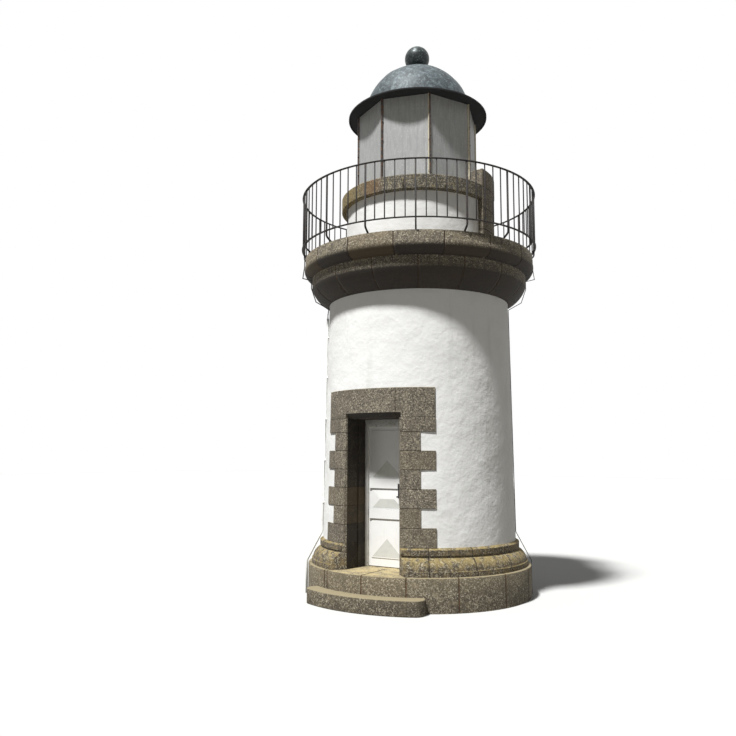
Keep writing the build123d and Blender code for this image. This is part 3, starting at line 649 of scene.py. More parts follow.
@dataclass
class Stonework:
    """Dressed granite cut from its solid, with open joints between the stones.

    Joints are azimuths of upright joints and beds heights of level ones. A joint is cut where the stone
    lies further than clear from the tower's axis. The shaded reveal is half the width of the doorway that the
    stones line and the reach at which its painted shade begins.
    """

    node: str
    finish: Finish
    joints: tuple[float, ...] = ()
    beds: tuple[float, ...] = ()
    kind: str = "stones"
    joint_width: float = 0.010
    joint_depth: float = 0.008
    arris: float = 0.006
    clear: float = 0.80
    seed: int = 1
    warmest: float = 0.30
    mortar: Finish = MORTAR
    smooth: float = 32.0
    shaded_reveal: tuple[float, float] | None = None

    def cut(self, bm: BMesh, point: Vector, normal: Vector, side: Vector | None) -> None:
        """Sinks one joint into the stone and gives it mortar.

        Args:
            bm: Mesh to change.
            point: A point in the joint's middle plane.
            normal: The plane's normal.
            side: Direction in which the joint lies from the axis, or None for a level one.
        """
        half = self.joint_width / 2
        for shift in (-half, half):
            at = point + normal * shift
            bmesh.ops.bisect_plane(bm, geom=whole(bm), dist=1e-6, plane_co=at, plane_no=normal)
        strip = []
        for face in bm.faces:
            if any(abs((vert.co - point).dot(normal)) > half + 1e-5 for vert in face.verts):
                continue
            ledge = abs(face.normal.dot(normal)) > 0.7
            if ledge or (side is not None and face.calc_center_median().dot(side) < self.clear):
                continue
            strip.append(face)
        if not strip:
            return
        sunk = bmesh.ops.extrude_face_region(bm, geom=strip)["geom"]
        bmesh.ops.delete(bm, geom=[face for face in strip if face.is_valid], context="FACES")
        bm.normal_update()
        chosen = set(only(BMFace, sunk))
        for vert in only(BMVert, sunk):
            inward = sum((face.normal for face in vert.link_faces if face in chosen), Vector())
            if inward.length > 1e-6:
                vert.co -= inward.normalized() * self.joint_depth
            for face in vert.link_faces:
                face.material_index = 1

    def cut_joints(self, bm: BMesh) -> None:
        """Cuts every upright and level joint.

        Args:
            bm: Mesh to change.
        """
        for azimuth in self.joints:
            outward = compass(azimuth)
            self.cut(bm, Vector(), Vector((-outward.y, outward.x, 0)), outward)
        for height in self.beds:
            self.cut(bm, Vector((0, 0, height)), Vector((0, 0, 1)), None)

    def mark(self, bm: BMesh) -> None:
        """Gives each stone its own tone and warmth, which the granite reads.

        Args:
            bm: Mesh to change.
        """
        tone = bm.faces.layers.float.new("stone_tone")
        warmth = bm.faces.layers.float.new("stone_warmth")
        for face in bm.faces:
            middle = face.calc_center_median()
            azimuth = azimuth_of(middle)
            column = sum(1 for joint in self.joints if (joint + 180) % 360 - 180 < azimuth)
            if len(self.joints) > CLOSED_RING:
                column %= len(self.joints)
            row = sum(1 for bed in self.beds if bed < middle.z)
            spot = Vector((column * COLUMN_STEP + self.seed, row * ROW_STEP, self.seed * COURSE_STEP))
            face[tone] = noise.noise(spot) * 0.5 + 0.5
            face[warmth] = max(0.0, noise.noise(spot + WARMTH_SHIFT)) * self.warmest

    def dress(self, bm: BMesh, *others: Finish) -> None:
        """Turns the cut stones into a piece.

        Args:
            bm: Mesh of the stones. It is freed.
            others: Finishes after the stone's own.
        """
        name, finishes = f"{self.node}_{self.kind}", [self.finish, *others]
        finish_piece(bm, name, finishes, (self.node,), smooth=self.smooth)

    def build(self) -> None:
        """Cuts, softens and dresses the stones."""
        bm = solid_copy(self.node)
        self.cut_joints(bm)
        # Faces inside the doorway take the darker granite: painted shade.
        if self.shaded_reveal:
            half, front = self.shaded_reveal
            for face in bm.faces:
                middle = face.calc_center_median()
                if face.material_index == 0 and -front < middle.y < 0 and abs(middle.x) < half:
                    face.material_index = 2
        join_flat(bm)
        self.mark(bm)
        soften(bm, self.arris, 50, 1, keep=1)
        self.dress(bm, self.mortar, SHADED_REVEAL_GRANITE)


@dataclass
class Masonry:
    """The granite courses from the plinth to the coping, in metres and degrees.

    A course has its first joint at one azimuth and the others at a pitch from it. At the plinth's front
    the stones differ in width. The quoins beside the door are by turns long and short.
    """

    plinth_radius: float = 1.570
    plinth_height: float = 0.422
    plinth_core: float = 0.95
    plinth_edge: float = 0.012
    plinth_joint: float = 0.016
    plinth_fronts: tuple[float, ...] = (-21.4, 0.6, 22.1, 46.0, 72.2)
    plinth_pitch: float = 24.0
    plinth_stones: int = 16
    floor_reach: float = 1.52
    step_half_angle: float = 30.5
    step_end: float = 5.0
    step_parts: int = 34
    step_corner: float = 0.14
    step_arris: float = 0.012
    doorway_half: float = 0.397
    lining_half: float = 0.400
    moulding_first: float = 32.8
    moulding_pitch: float = 24.0
    moulding_stones: int = 13
    moulding_reach: float = 1.56
    moulding_top: float = 0.759
    lintel_underside: float = 2.398
    lintel_top: float = 2.784
    lintel_joint: float = 15.1
    lintel_gap: float = 0.008
    quoin_courses: int = 6
    quoin_top: float = 0.186
    quoin_long: float = 37.3
    quoin_short: float = 29.0
    quoin_bed: float = 0.007
    quoin_reach: float = 1.27
    flat_smooth: float = 4.0
    corbel_first: float = 28.0
    slab_first: float = 17.1
    slab_joint: float = 0.014
    ring_stones: int = 16
    coping_first: float = 18.6
    coping_stones: int = 12

    def plinth(self) -> None:
        """Builds the ring of plinth stones round the worn floor."""
        radius, height, edge = self.plinth_radius, self.plinth_height, self.plinth_edge
        profile = [
            (0.0, 0.0),
            (self.plinth_core, 0.0),
            (radius, 0.0),
            (radius, height - edge),
            (radius - edge * 0.35, height - edge * 0.3),
            (radius - edge, height),
            (self.plinth_core, height),
            (0.0, height),
        ]
        count = self.plinth_stones - len(self.plinth_fronts) + 1
        rest = spaced(self.plinth_fronts[-1], self.plinth_pitch, count)[1:]
        stones = Stonework("plinth", FOOT_GRANITE, self.plinth_fronts + rest, seed=4)
        stones.joint_width = self.plinth_joint
        bm = turned(profile, 240)
        stones.cut_joints(bm)
        stones.mark(bm)
        for face in bm.faces:
            middle = face.calc_center_median()
            reach = middle.xy.length
            doorway = middle.y < 0 and abs(middle.x) < self.doorway_half and reach < self.floor_reach
            if face.normal.z > 0.9 and (doorway or reach < self.plinth_core):
                face.material_index = 2
        stones.dress(bm, RUSTY_MORTAR, FLOOR_STONE)

    def step(self) -> None:
        """Builds the curved step: its section is spun along the plinth and its front corners are rounded."""
        low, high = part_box("entrance_step")
        outer, inner, tall = -low[1], self.plinth_radius, 0.9 * (high[2] - low[2])
        bm = bmesh.new()
        corners = ((inner, low[2]), (outer, low[2]), (outer, high[2]), (inner, high[2]))
        start = compass(-self.step_half_angle)
        section = bm.faces.new([bm.verts.new(start * reach + Vector((0, 0, z))) for reach, z in corners])
        geom = [section] + section.edges[:] + section.verts[:]
        middle = 2 * (self.step_half_angle - self.step_end)
        for angle, steps in ((self.step_end, 1), (middle, self.step_parts), (self.step_end, 1)):
            geom = sweep(bm, geom, angle, steps)
        bmesh.ops.recalc_face_normals(bm, faces=bm.faces)
        ends = [
            edge
            for edge in bm.edges
            if abs(edge.verts[0].co.z - edge.verts[1].co.z) > tall
            and all(vert.co.xy.length > outer - 0.001 for vert in edge.verts)
            and edge.calc_face_angle(0) > 1
        ]
        round_edges(bm, ends, self.step_corner, 12, clamp=False)
        stone = Stonework("entrance_step", FOOT_GRANITE, kind="stone", seed=9)
        stone.mark(bm)
        soften(bm, self.step_arris, 50, 3)
        stone.dress(bm)

    @property
    def quoin_rise(self) -> float:
        """Returns the height of one course of quoins."""
        return (self.lintel_underside - self.quoin_top - self.moulding_top) / self.quoin_courses

    def surround(self) -> tuple[tuple[float, float, float, float], ...]:
        """Finds where the door's quoins and lintel show through the render.

        Returns:
            The lowest and highest height and the first and last azimuth of each course.
        """
        courses = []
        for number in range(self.quoin_courses + 1):
            low = self.moulding_top + self.quoin_rise * number
            high = low + self.quoin_rise if number < self.quoin_courses else self.lintel_top
            reach = self.quoin_short if number % 2 else self.quoin_long
            courses.append((low, high, -reach, reach))
        return tuple(courses)

    def doorway(self) -> None:
        """Builds the quoins and the lintel, with painted shade on the inside of the doorway."""
        beds = tuple(high for low, high, *_ in self.surround()[:-1])
        quoins = {"kind": "quoins", "joint_width": self.quoin_bed}
        lining = {"shaded_reveal": (self.lining_half, self.quoin_reach), "smooth": self.flat_smooth}
        Stonework("door_jamb_left", GRANITE, (), beds, seed=5, **quoins, **lining).build()
        Stonework("door_jamb_right", GRANITE, (), beds, seed=11, **quoins, **lining).build()
        gap = self.lintel_gap
        Stonework("door_lintel", GRANITE, (self.lintel_joint,), joint_width=gap, seed=7, **lining).build()

    def build(self) -> None:
        """Builds every course of stone."""
        self.plinth()
        self.step()
        joints = spaced(self.moulding_first, self.moulding_pitch, self.moulding_stones)
        # The moulding's cut ends inside the doorway take the same painted shade.
        shaded_reveal = (self.lining_half, self.moulding_reach)
        for side in ("left", "right", "back"):
            node = f"base_moulding_{side}"
            Stonework(node, LICHEN_GRANITE, joints, seed=3, arris=0.005, shaded_reveal=shaded_reveal).build()
        self.doorway()
        pitch = 360 / self.ring_stones
        corbels = spaced(self.corbel_first, pitch, self.ring_stones)
        slabs = spaced(self.slab_first, pitch, self.ring_stones)
        for side in ("front", "back"):
            Stonework(f"cornice_{side}", DAMP_AND_SHADED_GRANITE, corbels, seed=2, mortar=RUSTY_MORTAR).build()
            node = f"gallery_course_{side}"
            Stonework(node, DAMP_AND_SHADED_GRANITE, slabs, seed=6, joint_width=self.slab_joint).build()
        joints = spaced(self.coping_first, 360 / self.coping_stones, self.coping_stones)
        for side in ("front", "left", "back"):
            Stonework(f"coping_{side}", COPING_GRANITE, joints, seed=8, clear=0.7).build()


@dataclass
class RenderedWall:
    """Wall under lime render, a little uneven, with gaps where dressed stone shows.

    Foot and head are a radius and a height, and room is the radius of the round room inside. Gaps are
    (lowest height, highest height, first azimuth, last azimuth), and lumps are (width, height).
    """

    name: str
    nodes: tuple[str, ...]
    foot: tuple[float, float]
    head: tuple[float, float]
    room: float
    gaps: tuple[tuple[float, float, float, float], ...]
    pitch: float = 0.045
    lumps: tuple[tuple[float, float], ...] = ((0.45, 0.006), (0.14, 0.0022))

    def levels(self) -> list[float]:
        """Finds the heights of the wall's rows, with one at every edge of a gap.

        Returns:
            Heights in metres, from the foot up.
        """
        keys = {self.foot[1], self.head[1]}
        for low, high, *_ in self.gaps:
            keys.update((max(low, self.foot[1]), min(high, self.head[1])))
        ordered = sorted(keys)
        rows = []
        for low, high in zip(ordered, ordered[1:]):
            count = max(1, round((high - low) / self.pitch))
            rows += [low + (high - low) * number / count for number in range(count)]
        return rows + [ordered[-1]]

    def radius(self, height: float) -> float:
        """Returns the wall's outer radius at a height."""
        share = (height - self.foot[1]) / (self.head[1] - self.foot[1])
        return self.foot[0] + (self.head[0] - self.foot[0]) * share

    def skin(self) -> BMesh:
        """Spins the wall's outer skin in stages, so that a column falls on every edge of a gap.

        Returns:
            A new mesh without the faces in the gaps.
        """
        stops = sorted({azimuth % 360 for gap in self.gaps for azimuth in gap[2:]})
        stops.append(stops[0] + 360)
        bm = bmesh.new()
        outward = compass(stops[0])
        verts = [bm.verts.new(outward * self.radius(h) + Vector((0, 0, h))) for h in self.levels()]
        last = verts + [bm.edges.new(pair) for pair in zip(verts, verts[1:])]
        for start, end in zip(stops, stops[1:]):
            last = sweep(bm, last, end - start, ceil((end - start) * radians(1) * self.foot[0] / self.pitch))
        bmesh.ops.remove_doubles(bm, verts=bm.verts, dist=1e-4)
        inside = []
        for face in bm.faces:
            middle = face.calc_center_median()
            azimuth = azimuth_of(middle) % 360
            for low, high, start, end in self.gaps:
                if low < middle.z < high and (azimuth - start) % 360 < (end - start) % 360:
                    inside.append(face)
                    break
        bmesh.ops.delete(bm, geom=inside, context="FACES")
        bmesh.ops.recalc_face_normals(bm, faces=bm.faces)
        return bm

    def build(self) -> None:
        """Makes the wall uneven and gives it its thickness."""
        bm = self.skin()
        largest = max(bm.faces, key=lambda face: face.calc_area())
        middle = largest.calc_center_median()
        if largest.normal.dot(Vector((middle.x, middle.y, 0))) < 0:
            bmesh.ops.reverse_faces(bm, faces=bm.faces)
        bmesh.ops.solidify(bm, geom=bm.faces[:], thickness=self.foot[0] - self.room)
        halfway = (self.room + min(self.foot[0], self.head[0])) / 2
        for vert in bm.verts:
            reach = hypot(vert.co.x, vert.co.y)
            if reach < halfway:
                vert.co.xy *= self.room / reach
                vert.co.z = min(max(vert.co.z, self.foot[1]), self.head[1])
                continue
            rows_in = min(vert.co.z - self.foot[1], self.head[1] - vert.co.z) / self.pitch
            lump = sum(noise.noise(vert.co / width) * height for width, height in self.lumps)
            vert.co.xy *= 1 + lump * min(1.0, max(0.0, rows_in)) / reach
        bmesh.ops.recalc_face_normals(bm, faces=bm.faces)
        finish_piece(bm, self.name, [RENDER], self.nodes, smooth=40)


@dataclass
class EntranceDoor:
    """Painted frame and leaf of the entrance, with the leaf's iron handle and hinges.

    Margin is the leaf's plain edge, and setback how far the plate lies behind the lever's outer side.
    """

    margin: float = 0.02
    shade_line_tilt: float = 0.75
    plate_low: float = 1.342
    plate_high: float = 1.532
    plate_half: float = 0.018
    plate_setback: float = 0.0585
    plate_proud: float = 0.0005
    handle_height: float = 1.362
    spindle_radius: float = 0.009
    lever_radius: float = 0.0075
    lever_length: float = 0.080
    lever_inset: float = 0.0115
    knob_radius: float = 0.0125
    knob_inset: float = 0.012

    def frame_timber(self) -> None:
        """Builds the frame with eased edges."""
        bm = solid_copy("door_frame")
        soften(bm, 0.004, 50, 2)
        finish_piece(bm, "door_frame_timber", [FRAME_PAINT], ("door_frame",))

    def leaf(self) -> None:
        """Builds the leaf with its hipped panels and proud rails, with painted shade on their steep sides and
        downward facets.
        """
        bm = solid_copy("door_leaf")
        low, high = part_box("door_leaf")
        for face in bm.faces:
            # Steep faces inside the leaf get dark painted shade lines, and facets that slope down a greyer
            # painted shade.
            middle = face.calc_center_median()
            inside = all(low[i] + self.margin < middle[i] < high[i] - self.margin for i in (0, 2))
            if inside and abs(face.normal.y) < self.shade_line_tilt:
                face.material_index = 1
            elif inside and face.normal.z < -0.004:
                face.material_index = 2
        soften(bm, 0.0025, 60, 2)
        finishes = [GLOSS_PAINT, GROOVE_SHADE, SHADED_FACET_PAINT]
        finish_piece(bm, "panelled_door_leaf", finishes, ("door_leaf",), "door", 5)

    def handle(self) -> None:
        """Builds the lever and plate, outside and in."""
        low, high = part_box("door_handle")
        x = low[0] + self.plate_half
        front = low[1] + self.plate_setback - self.plate_proud
        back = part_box("door_leaf")[1][1] - self.plate_proud
        corner = (x + self.plate_half, back, self.plate_high)
        plate = block((x - self.plate_half, front, self.plate_low), corner)
        soften(plate, 0.005, 40, 3)
        iron = bmesh.new()
        spindle = Matrix.Translation((x, (low[1] + high[1]) / 2, self.handle_height))
        radii = (self.spindle_radius, self.spindle_radius)
        add_rod(iron, high[1] - low[1], radii, spindle @ Matrix.Rotation(pi / 2, 4, "X"), 24)
        radii = (self.spindle_radius, self.lever_radius)
        for y in (low[1] + self.lever_inset, high[1] - self.lever_inset):
            lever = Matrix.Translation((x + self.lever_length / 2, y, self.handle_height))
            add_rod(iron, self.lever_length, radii, lever @ Matrix.Rotation(pi / 2, 4, "Y"), 20)
        knob = Matrix.Translation((x, low[1] + self.knob_inset, self.handle_height))
        bmesh.ops.create_uvsphere(iron, u_segments=20, v_segments=12, radius=self.knob_radius, matrix=knob)
        bm = join(plate, iron)
        finish_piece(bm, "door_lever_and_plate", [BLACK_IRON], ("door_handle",), "door")

    def build(self) -> None:
        """Builds the frame, the leaf and the handle, and dresses the hinges."""
        self.frame_timber()
        self.leaf()
        self.handle()
        dress_solid("door_hinge_pins", BLACK_IRON)
        dress_solid("door_hinge_straps", BLACK_IRON)


@dataclass
class GalleryDoorway:
    """Granite doorway from the drum to the gallery, with its boarded door."""

    azimuth: float = 120.0
    beds: tuple[float, ...] = (5.08, 5.39)
    bed_width: float = 0.007
    door_width: float = 0.6
    boards: int = 5
    board_joint: float = 0.006

    def door(self) -> None:
        """Builds the boarded door with open joints between its boards."""
        bm = solid_copy("gallery_door")
        across = compass(self.azimuth + 90)
        gap = self.board_joint
        boards = Stonework("gallery_door", GREY_PAINT, joint_width=gap, joint_depth=gap)
        for number in range(1, self.boards):
            shift = self.door_width * (number / self.boards - 0.5)
            boards.cut(bm, across * shift, across, None)
        for face in bm.faces:
            face.material_index = 0
        soften(bm, 0.002)
        finish_piece(bm, "gallery_door_boards", [GREY_PAINT], ("gallery_door",))

    def build(self) -> None:
        """Builds the surround and the door."""
        for side, seed in (("front", 13), ("back", 14)):
            width = self.bed_width
            Stonework(f"gallery_jamb_{side}", GRANITE, (), self.beds, joint_width=width, seed=seed).build()
        Stonework("gallery_lintel", GRANITE, kind="stone", seed=15).build()
        Stonework("lantern_curb", GRANITE, kind="stone", seed=16).build()
        self.door()


@dataclass
class Railing:
    """Wrought iron railing: two flat rings, square balusters and posts with bent feet.

    Each post bends inwards at its knee, and its foot stands on the slab, foot_inset behind its edge.
    """

    radius: float = 1.716
    rail_width: float = 0.036
    rail_thickness: float = 0.012
    ease: float = 0.003
    post: float = 0.022
    baluster: float = 0.014
    floor: float = 4.770
    rail_height: float = 5.700
    ring_height: float = 4.923
    posts: int = 16
    bays: int = 5
    first_post: float = 4.6
    slab_radius: float = 1.676
    foot_inset: float = 0.058
    foot_length: float = 0.2
    knee: float = 0.075
    bend: float = 0.060

    def ring(self, height: float) -> BMesh:
        """Builds one flat ring with rounded edges.

        Args:
            height: Height of its middle in metres.

        Returns:
            A new mesh.
        """
        half, rise, ease = self.rail_width / 2, self.rail_thickness / 2, self.ease
        inner, outer, low, high = self.radius - half, self.radius + half, height - rise, height + rise
        outline = [
            (inner, low + ease),
            (inner + ease, low),
            (outer - ease, low),
            (outer, low + ease),
            (outer, high - ease),
            (outer - ease, high),
            (inner + ease, high),
            (inner, high - ease),
        ]
        return turned(outline, 240)

    def bent_post(self) -> BMesh:
        """Builds one post at azimuth 0: extruded down, spun through its bend and cut at the floor.

        Returns:
            A new mesh.
        """
        slope = atan2(self.radius - self.slab_radius + self.foot_inset, self.knee)
        shank = self.rail_height - self.floor - self.knee - self.bend * tan(slope / 2)
        bm = bmesh.new()
        bmesh.ops.create_grid(bm, x_segments=1, y_segments=1, size=self.post / 2)
        bmesh.ops.translate(bm, vec=(0, -self.radius, self.rail_height), verts=bm.verts)
        end = extrude(bm, bm.faces[:], Vector((0, 0, -shank)))
        edges = [edge for face in end for edge in face.edges]
        geom = end + edges + [vert for face in end for vert in face.verts]
        centre = (0, -self.radius + self.bend, self.rail_height - shank)
        made = bmesh.ops.spin(bm, geom=geom, cent=centre, axis=(1, 0, 0), angle=slope, steps=6)["geom_last"]
        extrude(bm, only(BMFace, made), Vector((0, sin(slope), -cos(slope))) * self.foot_length)
        floor, down = (0, 0, self.floor), (0, 0, -1)
        cut = bmesh.ops.bisect_plane(bm, geom=whole(bm), plane_co=floor, plane_no=down, clear_outer=True)
        bmesh.ops.holes_fill(bm, edges=only(BMEdge, cut["geom_cut"]), sides=0)
        bmesh.ops.recalc_face_normals(bm, faces=bm.faces)
        soften(bm, 0.003)
        return bm

    def upright(self) -> BMesh:
        """Builds one baluster at azimuth 0.

        Returns:
            A new mesh.
        """
        half = self.baluster / 2
        low = (-half, -self.radius - half, self.ring_height)
        bm = block(low, (half, -self.radius + half, self.rail_height))
        soften(bm, 0.002)
        return bm

    def build(self) -> None:
        """Builds the whole railing."""
        bay = 360 / self.posts
        azimuths = spaced(self.first_post, bay, self.posts)
        posts = scatter(self.bent_post(), [turn_to(azimuth) for azimuth in azimuths])
        turns = [turn_to(a + bay * step / self.bays) for a in azimuths for step in range(1, self.bays)]
        balusters = scatter(self.upright(), turns)
        bm = join(self.ring(self.rail_height), self.ring(self.ring_height), posts, balusters)
        nodes = tuple(f"railing_{side}" for side in ("front", "right", "back", "left"))
        finish_piece(bm, "wrought_iron_railing", [RAIL_IRON], nodes, smooth=50)


@dataclass
class Lantern:
    """Blind octagonal lantern: painted panels between bolted iron bars, on a sill and under the roof."""

    radius: float = 0.918
    turn: float = -6.2
    sides: int = 8
    bar_half: float = 0.020
    lit_side_tilt: float = -0.35
    bolt_heights: tuple[float, ...] = (5.83, 6.09, 6.38, 6.66)
    bolt_radius: float = 0.016
    bolt_inset: float = 0.012

    def bars(self) -> None:
        """Builds the bars, with cream paint on the faces that look to one side, partly painted light, and
        their bolts.
        """
        bm = solid_copy("lantern_bars")
        # Faces that look round towards the left take the cream, partly painted light; the rest stay dark
        # iron, partly painted shade.
        for face in bm.faces:
            sideways = compass(azimuth_of(face.calc_center_median()) + 90)
            if face.normal.dot(sideways) < self.lit_side_tilt:
                face.material_index = 1
        soften(bm, 0.002)
        bolt = bmesh.new()
        bmesh.ops.create_uvsphere(bolt, u_segments=10, v_segments=6, radius=self.bolt_radius)
        reach = self.radius - self.bolt_inset
        spots = [(self.bar_half * 0.55, -reach, height) for height in self.bolt_heights]
        corners = spaced(self.turn, 360 / self.sides, self.sides)
        places = [turn_to(azimuth) @ Matrix.Translation(spot) for azimuth in corners for spot in spots]
        bm = join(bm, scatter(bolt, places))
        finishes = [BAR_IRON, LIT_SIDE_BAR_PAINT]
        finish_piece(bm, "bolted_lantern_bars", finishes, ("lantern_bars",))

    def build(self) -> None:
        """Builds the bars, panels, sill and frieze."""
        self.bars()
        for node, name, slot in (
            ("lantern_panels", "lantern_panel_sheets", "lantern_panel_paint"),
            ("lantern_frieze", "lantern_head_band", "dark_lantern_iron"),
            ("lantern_sill", "lantern_sill_band", "dark_lantern_iron"),
        ):
            bm = solid_copy(node)
            soften(bm, 0.0015)
            finish_piece(bm, name, [PANEL_PAINT], (node,))


@dataclass
class Roof:
    """Brim, dome with its lapped seams, collar and ball."""

    brim_radius: float = 1.049
    brim_bottom: float = 7.000
    brim_thickness: float = 0.016
    brim_lap: float = 0.018
    brim_ease: float = 0.005
    hem: float = 0.012
    hem_ease: float = 0.003
    dome_radius: float = 0.805
    dome_thickness: float = 0.010
    dome_rows: int = 28
    neck: float = 0.092
    seams: tuple[float, ...] = (98.0, 218.0, 338.0)
    seam_half: float = 0.02
    seam_rise: float = 0.005
    seam_sink: float = 0.004
    seam_angle: float = 78.0

    @property
    def spring(self) -> float:
        """Returns the height at which the dome springs from the brim."""
        return self.brim_bottom + self.brim_thickness

    def brim(self) -> None:
        """Builds the brim with its turned-down hem."""
        outer, inner = self.brim_radius, self.dome_radius - self.brim_lap
        bottom, foot = self.brim_bottom, self.brim_bottom - self.hem
        outline = [
            (inner, bottom),
            (outer - self.hem, bottom),
            (outer - self.hem, foot + 0.002),
            (outer - self.hem + self.hem_ease, foot),
            (outer - self.hem_ease, foot),
            (outer, foot + self.hem_ease),
            (outer, self.spring - self.brim_ease),
            (outer - self.brim_ease, self.spring),
            (inner, self.spring),
        ]
        finish_piece(turned(outline), "dome_brim", [BRIM_SHADED_METAL], ("brim",))

    def shell(self) -> BMesh:
        """Turns the dome's shell from a quarter circle with its wall's thickness.

        Returns:
            A new mesh.
        """
        outline = []
        for radius in (self.dome_radius, self.dome_radius - self.dome_thickness):
            top = pi / 2 - asin(self.neck / radius)
            lifts = [top * number / self.dome_rows for number in range(self.dome_rows + 1)]
            arc = [(radius * cos(lift), self.spring + radius * sin(lift)) for lift in lifts]
            outline += arc[::-1] if outline else arc
        return turned(outline, 160)

    def seam(self) -> BMesh:
        """Builds one lapped seam at azimuth 0: a thin strip that is spun up the dome.

        Returns:
            A new mesh.
        """
        half, low, high = self.seam_half, self.dome_radius - self.seam_sink, self.dome_radius + self.seam_rise
        bm = bmesh.new()
        corners = ((-half, low), (half, low), (half * 0.7, high), (-half * 0.7, high))
        face = bm.faces.new([bm.verts.new((x, -reach, self.spring)) for x, reach in corners])
        geom = [face] + face.edges[:] + face.verts[:]
        centre, angle = (0, 0, self.spring), -radians(self.seam_angle)
        bmesh.ops.spin(bm, geom=geom, cent=centre, axis=(1, 0, 0), angle=angle, steps=26)
        bmesh.ops.recalc_face_normals(bm, faces=bm.faces)
        return bm

    def finial(self) -> None:
        """Builds the collar and the ball, with the pale ring between them."""
        bm = solid_copy("dome_collar")
        soften(bm, 0.003, 40, 2)
        finish_piece(bm, "dome_collar_cap", [FINIAL_METAL], ("dome_collar",))
        low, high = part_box("finial_ball")
        radius = (high[0] - low[0]) / 2
        middle = high[2] - radius
        ball = bmesh.new()
        place = Matrix.Translation((0, 0, middle))
        bmesh.ops.create_uvsphere(ball, u_segments=64, v_segments=40, radius=radius, matrix=place)
        seat = middle - sqrt(radius**2 - self.neck**2)
        section = ((-0.012, 0.016), (0.020, 0.010), (0.022, -0.002), (-0.012, -0.004))
        ring = turned([(self.neck + out, seat + up) for out, up in section], 64)
        for face in ring.faces:
            face.material_index = 1
        bm = join(ball, ring)
        finishes = [FINIAL_METAL, DOME_METAL]
        finish_piece(bm, "finial_ball_and_ring", finishes, ("finial_ball",))

    def build(self) -> None:
        """Builds the whole roof."""
        self.brim()
        bm = join(self.shell(), scatter(self.seam(), [turn_to(azimuth) for azimuth in self.seams]))
        finish_piece(bm, "sheet_metal_dome", [DOME_METAL], ("dome",))
        self.finial()


@dataclass(frozen=True)
class WallRun:
    """Pipe or cable with its clips, fixed to the wall."""

    name: str
    node: str
    finish: Finish
    slot: str

    def build(self) -> None:
        """Rounds the solid's shading and dresses it."""
        finish_piece(solid_copy(self.node), self.name, [self.finish], (self.node,), smooth=50)


@dataclass(frozen=True)
class Viewpoint:
    """The photograph's camera, found from the tower's round courses. Angles are in degrees."""

    distance: float = 10.8
    eye_height: float = 1.882
    azimuth: float = 27.9
    yaw: float = 3.924
    pitch: float = 6.915
    roll: float = 0.263
    focal_px: float = 737.0
    width_px: float = 736.0
    sensor_mm: float = 36.0

    def place(self) -> None:
        """Makes the scene's camera."""
        yaw, pitch, roll = (radians(angle) for angle in (self.yaw, self.pitch, self.roll))
        ahead = Vector((-sin(yaw) * cos(pitch), cos(yaw) * cos(pitch), sin(pitch)))
        level = Vector((cos(yaw), sin(yaw), 0))
        upright = level.cross(ahead)
        right = level * cos(roll) + upright * sin(roll)
        up = upright * cos(roll) - level * sin(roll)
        lens = bpy.data.cameras.new("photograph_view")
        lens.sensor_width = self.sensor_mm
        lens.sensor_fit = "HORIZONTAL"
        lens.lens = self.sensor_mm * self.focal_px / self.width_px
        lens.clip_end = 300
        camera = bpy.data.objects.new("photograph_view", lens)
        stand = turn_to(self.azimuth) @ Matrix.Translation((0, -self.distance, self.eye_height))
        camera.matrix_world = stand @ Matrix((right, up, -ahead)).transposed().to_4x4()
        bpy.context.scene.collection.objects.link(camera)
        bpy.context.scene.camera = camera


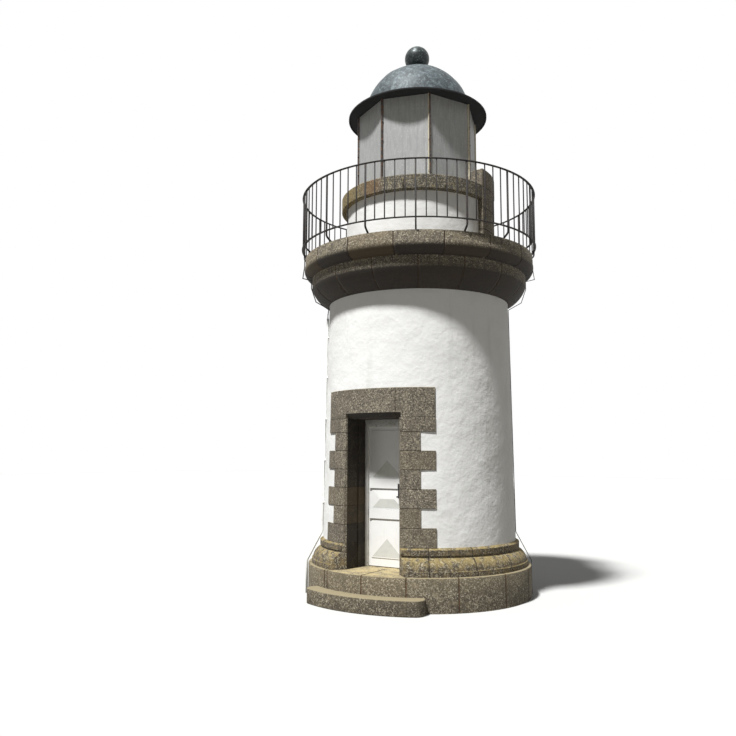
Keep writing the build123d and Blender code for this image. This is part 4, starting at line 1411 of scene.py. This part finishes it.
@dataclass(frozen=True)
class Studio:
    """Plain pale floor, white surroundings, one soft key lamp and even fill.

    The floor throws back less light than the eye sees on it, so that undersides stay dark.
    """

    floor_half: float = 60.0
    floor_colour: str = "#c6c6c4"
    bounce_colour: str = "#787670"
    fill: float = 0.13
    key: float = 5.9
    key_azimuth: float = -7.5
    key_height: float = 61.0
    key_softness: float = 6.0

    def floor(self) -> None:
        """Lays the floor, which keeps the tower's shadow."""
        bm = bmesh.new()
        bmesh.ops.create_grid(bm, x_segments=1, y_segments=1, size=self.floor_half)
        mesh = bpy.data.meshes.new("studio_floor")
        bm.to_mesh(mesh)
        bm.free()
        made = bpy.data.materials.new("plain_pale_floor")
        made.use_nodes = True
        tree = made.node_tree
        bounced = add_node(tree, "LightPath").outputs["Is Diffuse Ray"]
        tones = {0: bounced, 6: linear(self.floor_colour), 7: linear(self.bounce_colour)}
        tone = add_node(tree, "Mix", {"data_type": "RGBA"}, tones).outputs[2]
        shader = tree.nodes["Principled BSDF"]
        tree.links.new(tone, shader.inputs["Base Color"])
        shader.inputs["Roughness"].default_value = 0.9
        mesh.materials.append(made)
        floor = bpy.data.objects.new("studio_floor", mesh)
        bpy.context.scene.collection.objects.link(floor)

    def surroundings(self) -> None:
        """Makes the world: white to the eye and in reflections, and an even fill for the surfaces."""
        world = bpy.data.worlds.new("studio_world")
        world.use_nodes = True
        bpy.context.scene.world = world
        tree = world.node_tree
        tree.nodes.clear()
        path = add_node(tree, "LightPath").outputs
        seen = path["Is Camera Ray"]
        for other in ("Is Glossy Ray", "Is Transmission Ray"):
            either = {0: seen, 1: path[other]}
            seen = add_node(tree, "Math", {"operation": "MAXIMUM"}, either).outputs[0]
        fill = add_node(tree, "Background", None, {0: linear("#ffffff"), 1: self.fill})
        white = add_node(tree, "Background", None, {0: linear("#ffffff"), 1: 1.0})
        mix = add_node(tree, "MixShader", None, {0: seen, 1: fill.outputs[0], 2: white.outputs[0]})
        add_node(tree, "OutputWorld", None, {0: mix.outputs[0]})

    def lamp(self) -> None:
        """Hangs the key lamp in front of the entrance, high up and a little to its left."""
        lamp = bpy.data.lights.new("soft_key", "SUN")
        lamp.energy = self.key
        lamp.angle = radians(self.key_softness)
        key = bpy.data.objects.new("soft_key", lamp)
        toward = compass(self.key_azimuth) * cos(radians(self.key_height))
        toward.z = sin(radians(self.key_height))
        key.rotation_euler = toward.to_track_quat("Z", "Y").to_euler()
        bpy.context.scene.collection.objects.link(key)

    def build(self) -> None:
        """Builds the floor, the world and the lamp, and sets the plain view."""
        self.floor()
        self.surroundings()
        self.lamp()
        bpy.context.scene.view_settings.view_transform = "Standard"


def main() -> None:
    """Builds the lighthouse in its plain studio."""
    logging.basicConfig(level=logging.INFO)
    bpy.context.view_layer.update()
    Viewpoint().place()
    Studio().build()
    masonry = Masonry()
    shaft = tuple(f"shaft_wall_{part}" for part in ("left", "right", "back", "over_door"))
    drum = tuple(f"drum_wall_{part}" for part in ("front", "left", "back"))
    door_gaps = masonry.surround()
    gallery_gaps = ((4.770, 5.513, 81.0, 159.0),)
    for part in (
        masonry,
        RenderedWall(
            "rendered_shaft", shaft, foot=(1.362, 0.759), head=(1.312, 4.085), room=0.860, gaps=door_gaps
        ),
        RenderedWall(
            "rendered_drum", drum, foot=(1.067, 4.770), head=(1.067, 5.513), room=0.740, gaps=gallery_gaps
        ),
        EntranceDoor(),
        GalleryDoorway(),
        Railing(),
        Lantern(),
        Roof(),
        WallRun("white_conduit_pipe", "conduit", PIPE_WHITE, "white_conduit"),
        WallRun("service_cable_line", "service_cable", CABLE_BLACK, "dark_cable"),
        WallRun("lightning_conductor_tape", "lightning_conductor", CABLE_BLACK, "dark_cable"),
    ):
        part.build()
    dress_solid("upper_floor", FLOOR_STONE)


if __name__ == "__main__":
    main()
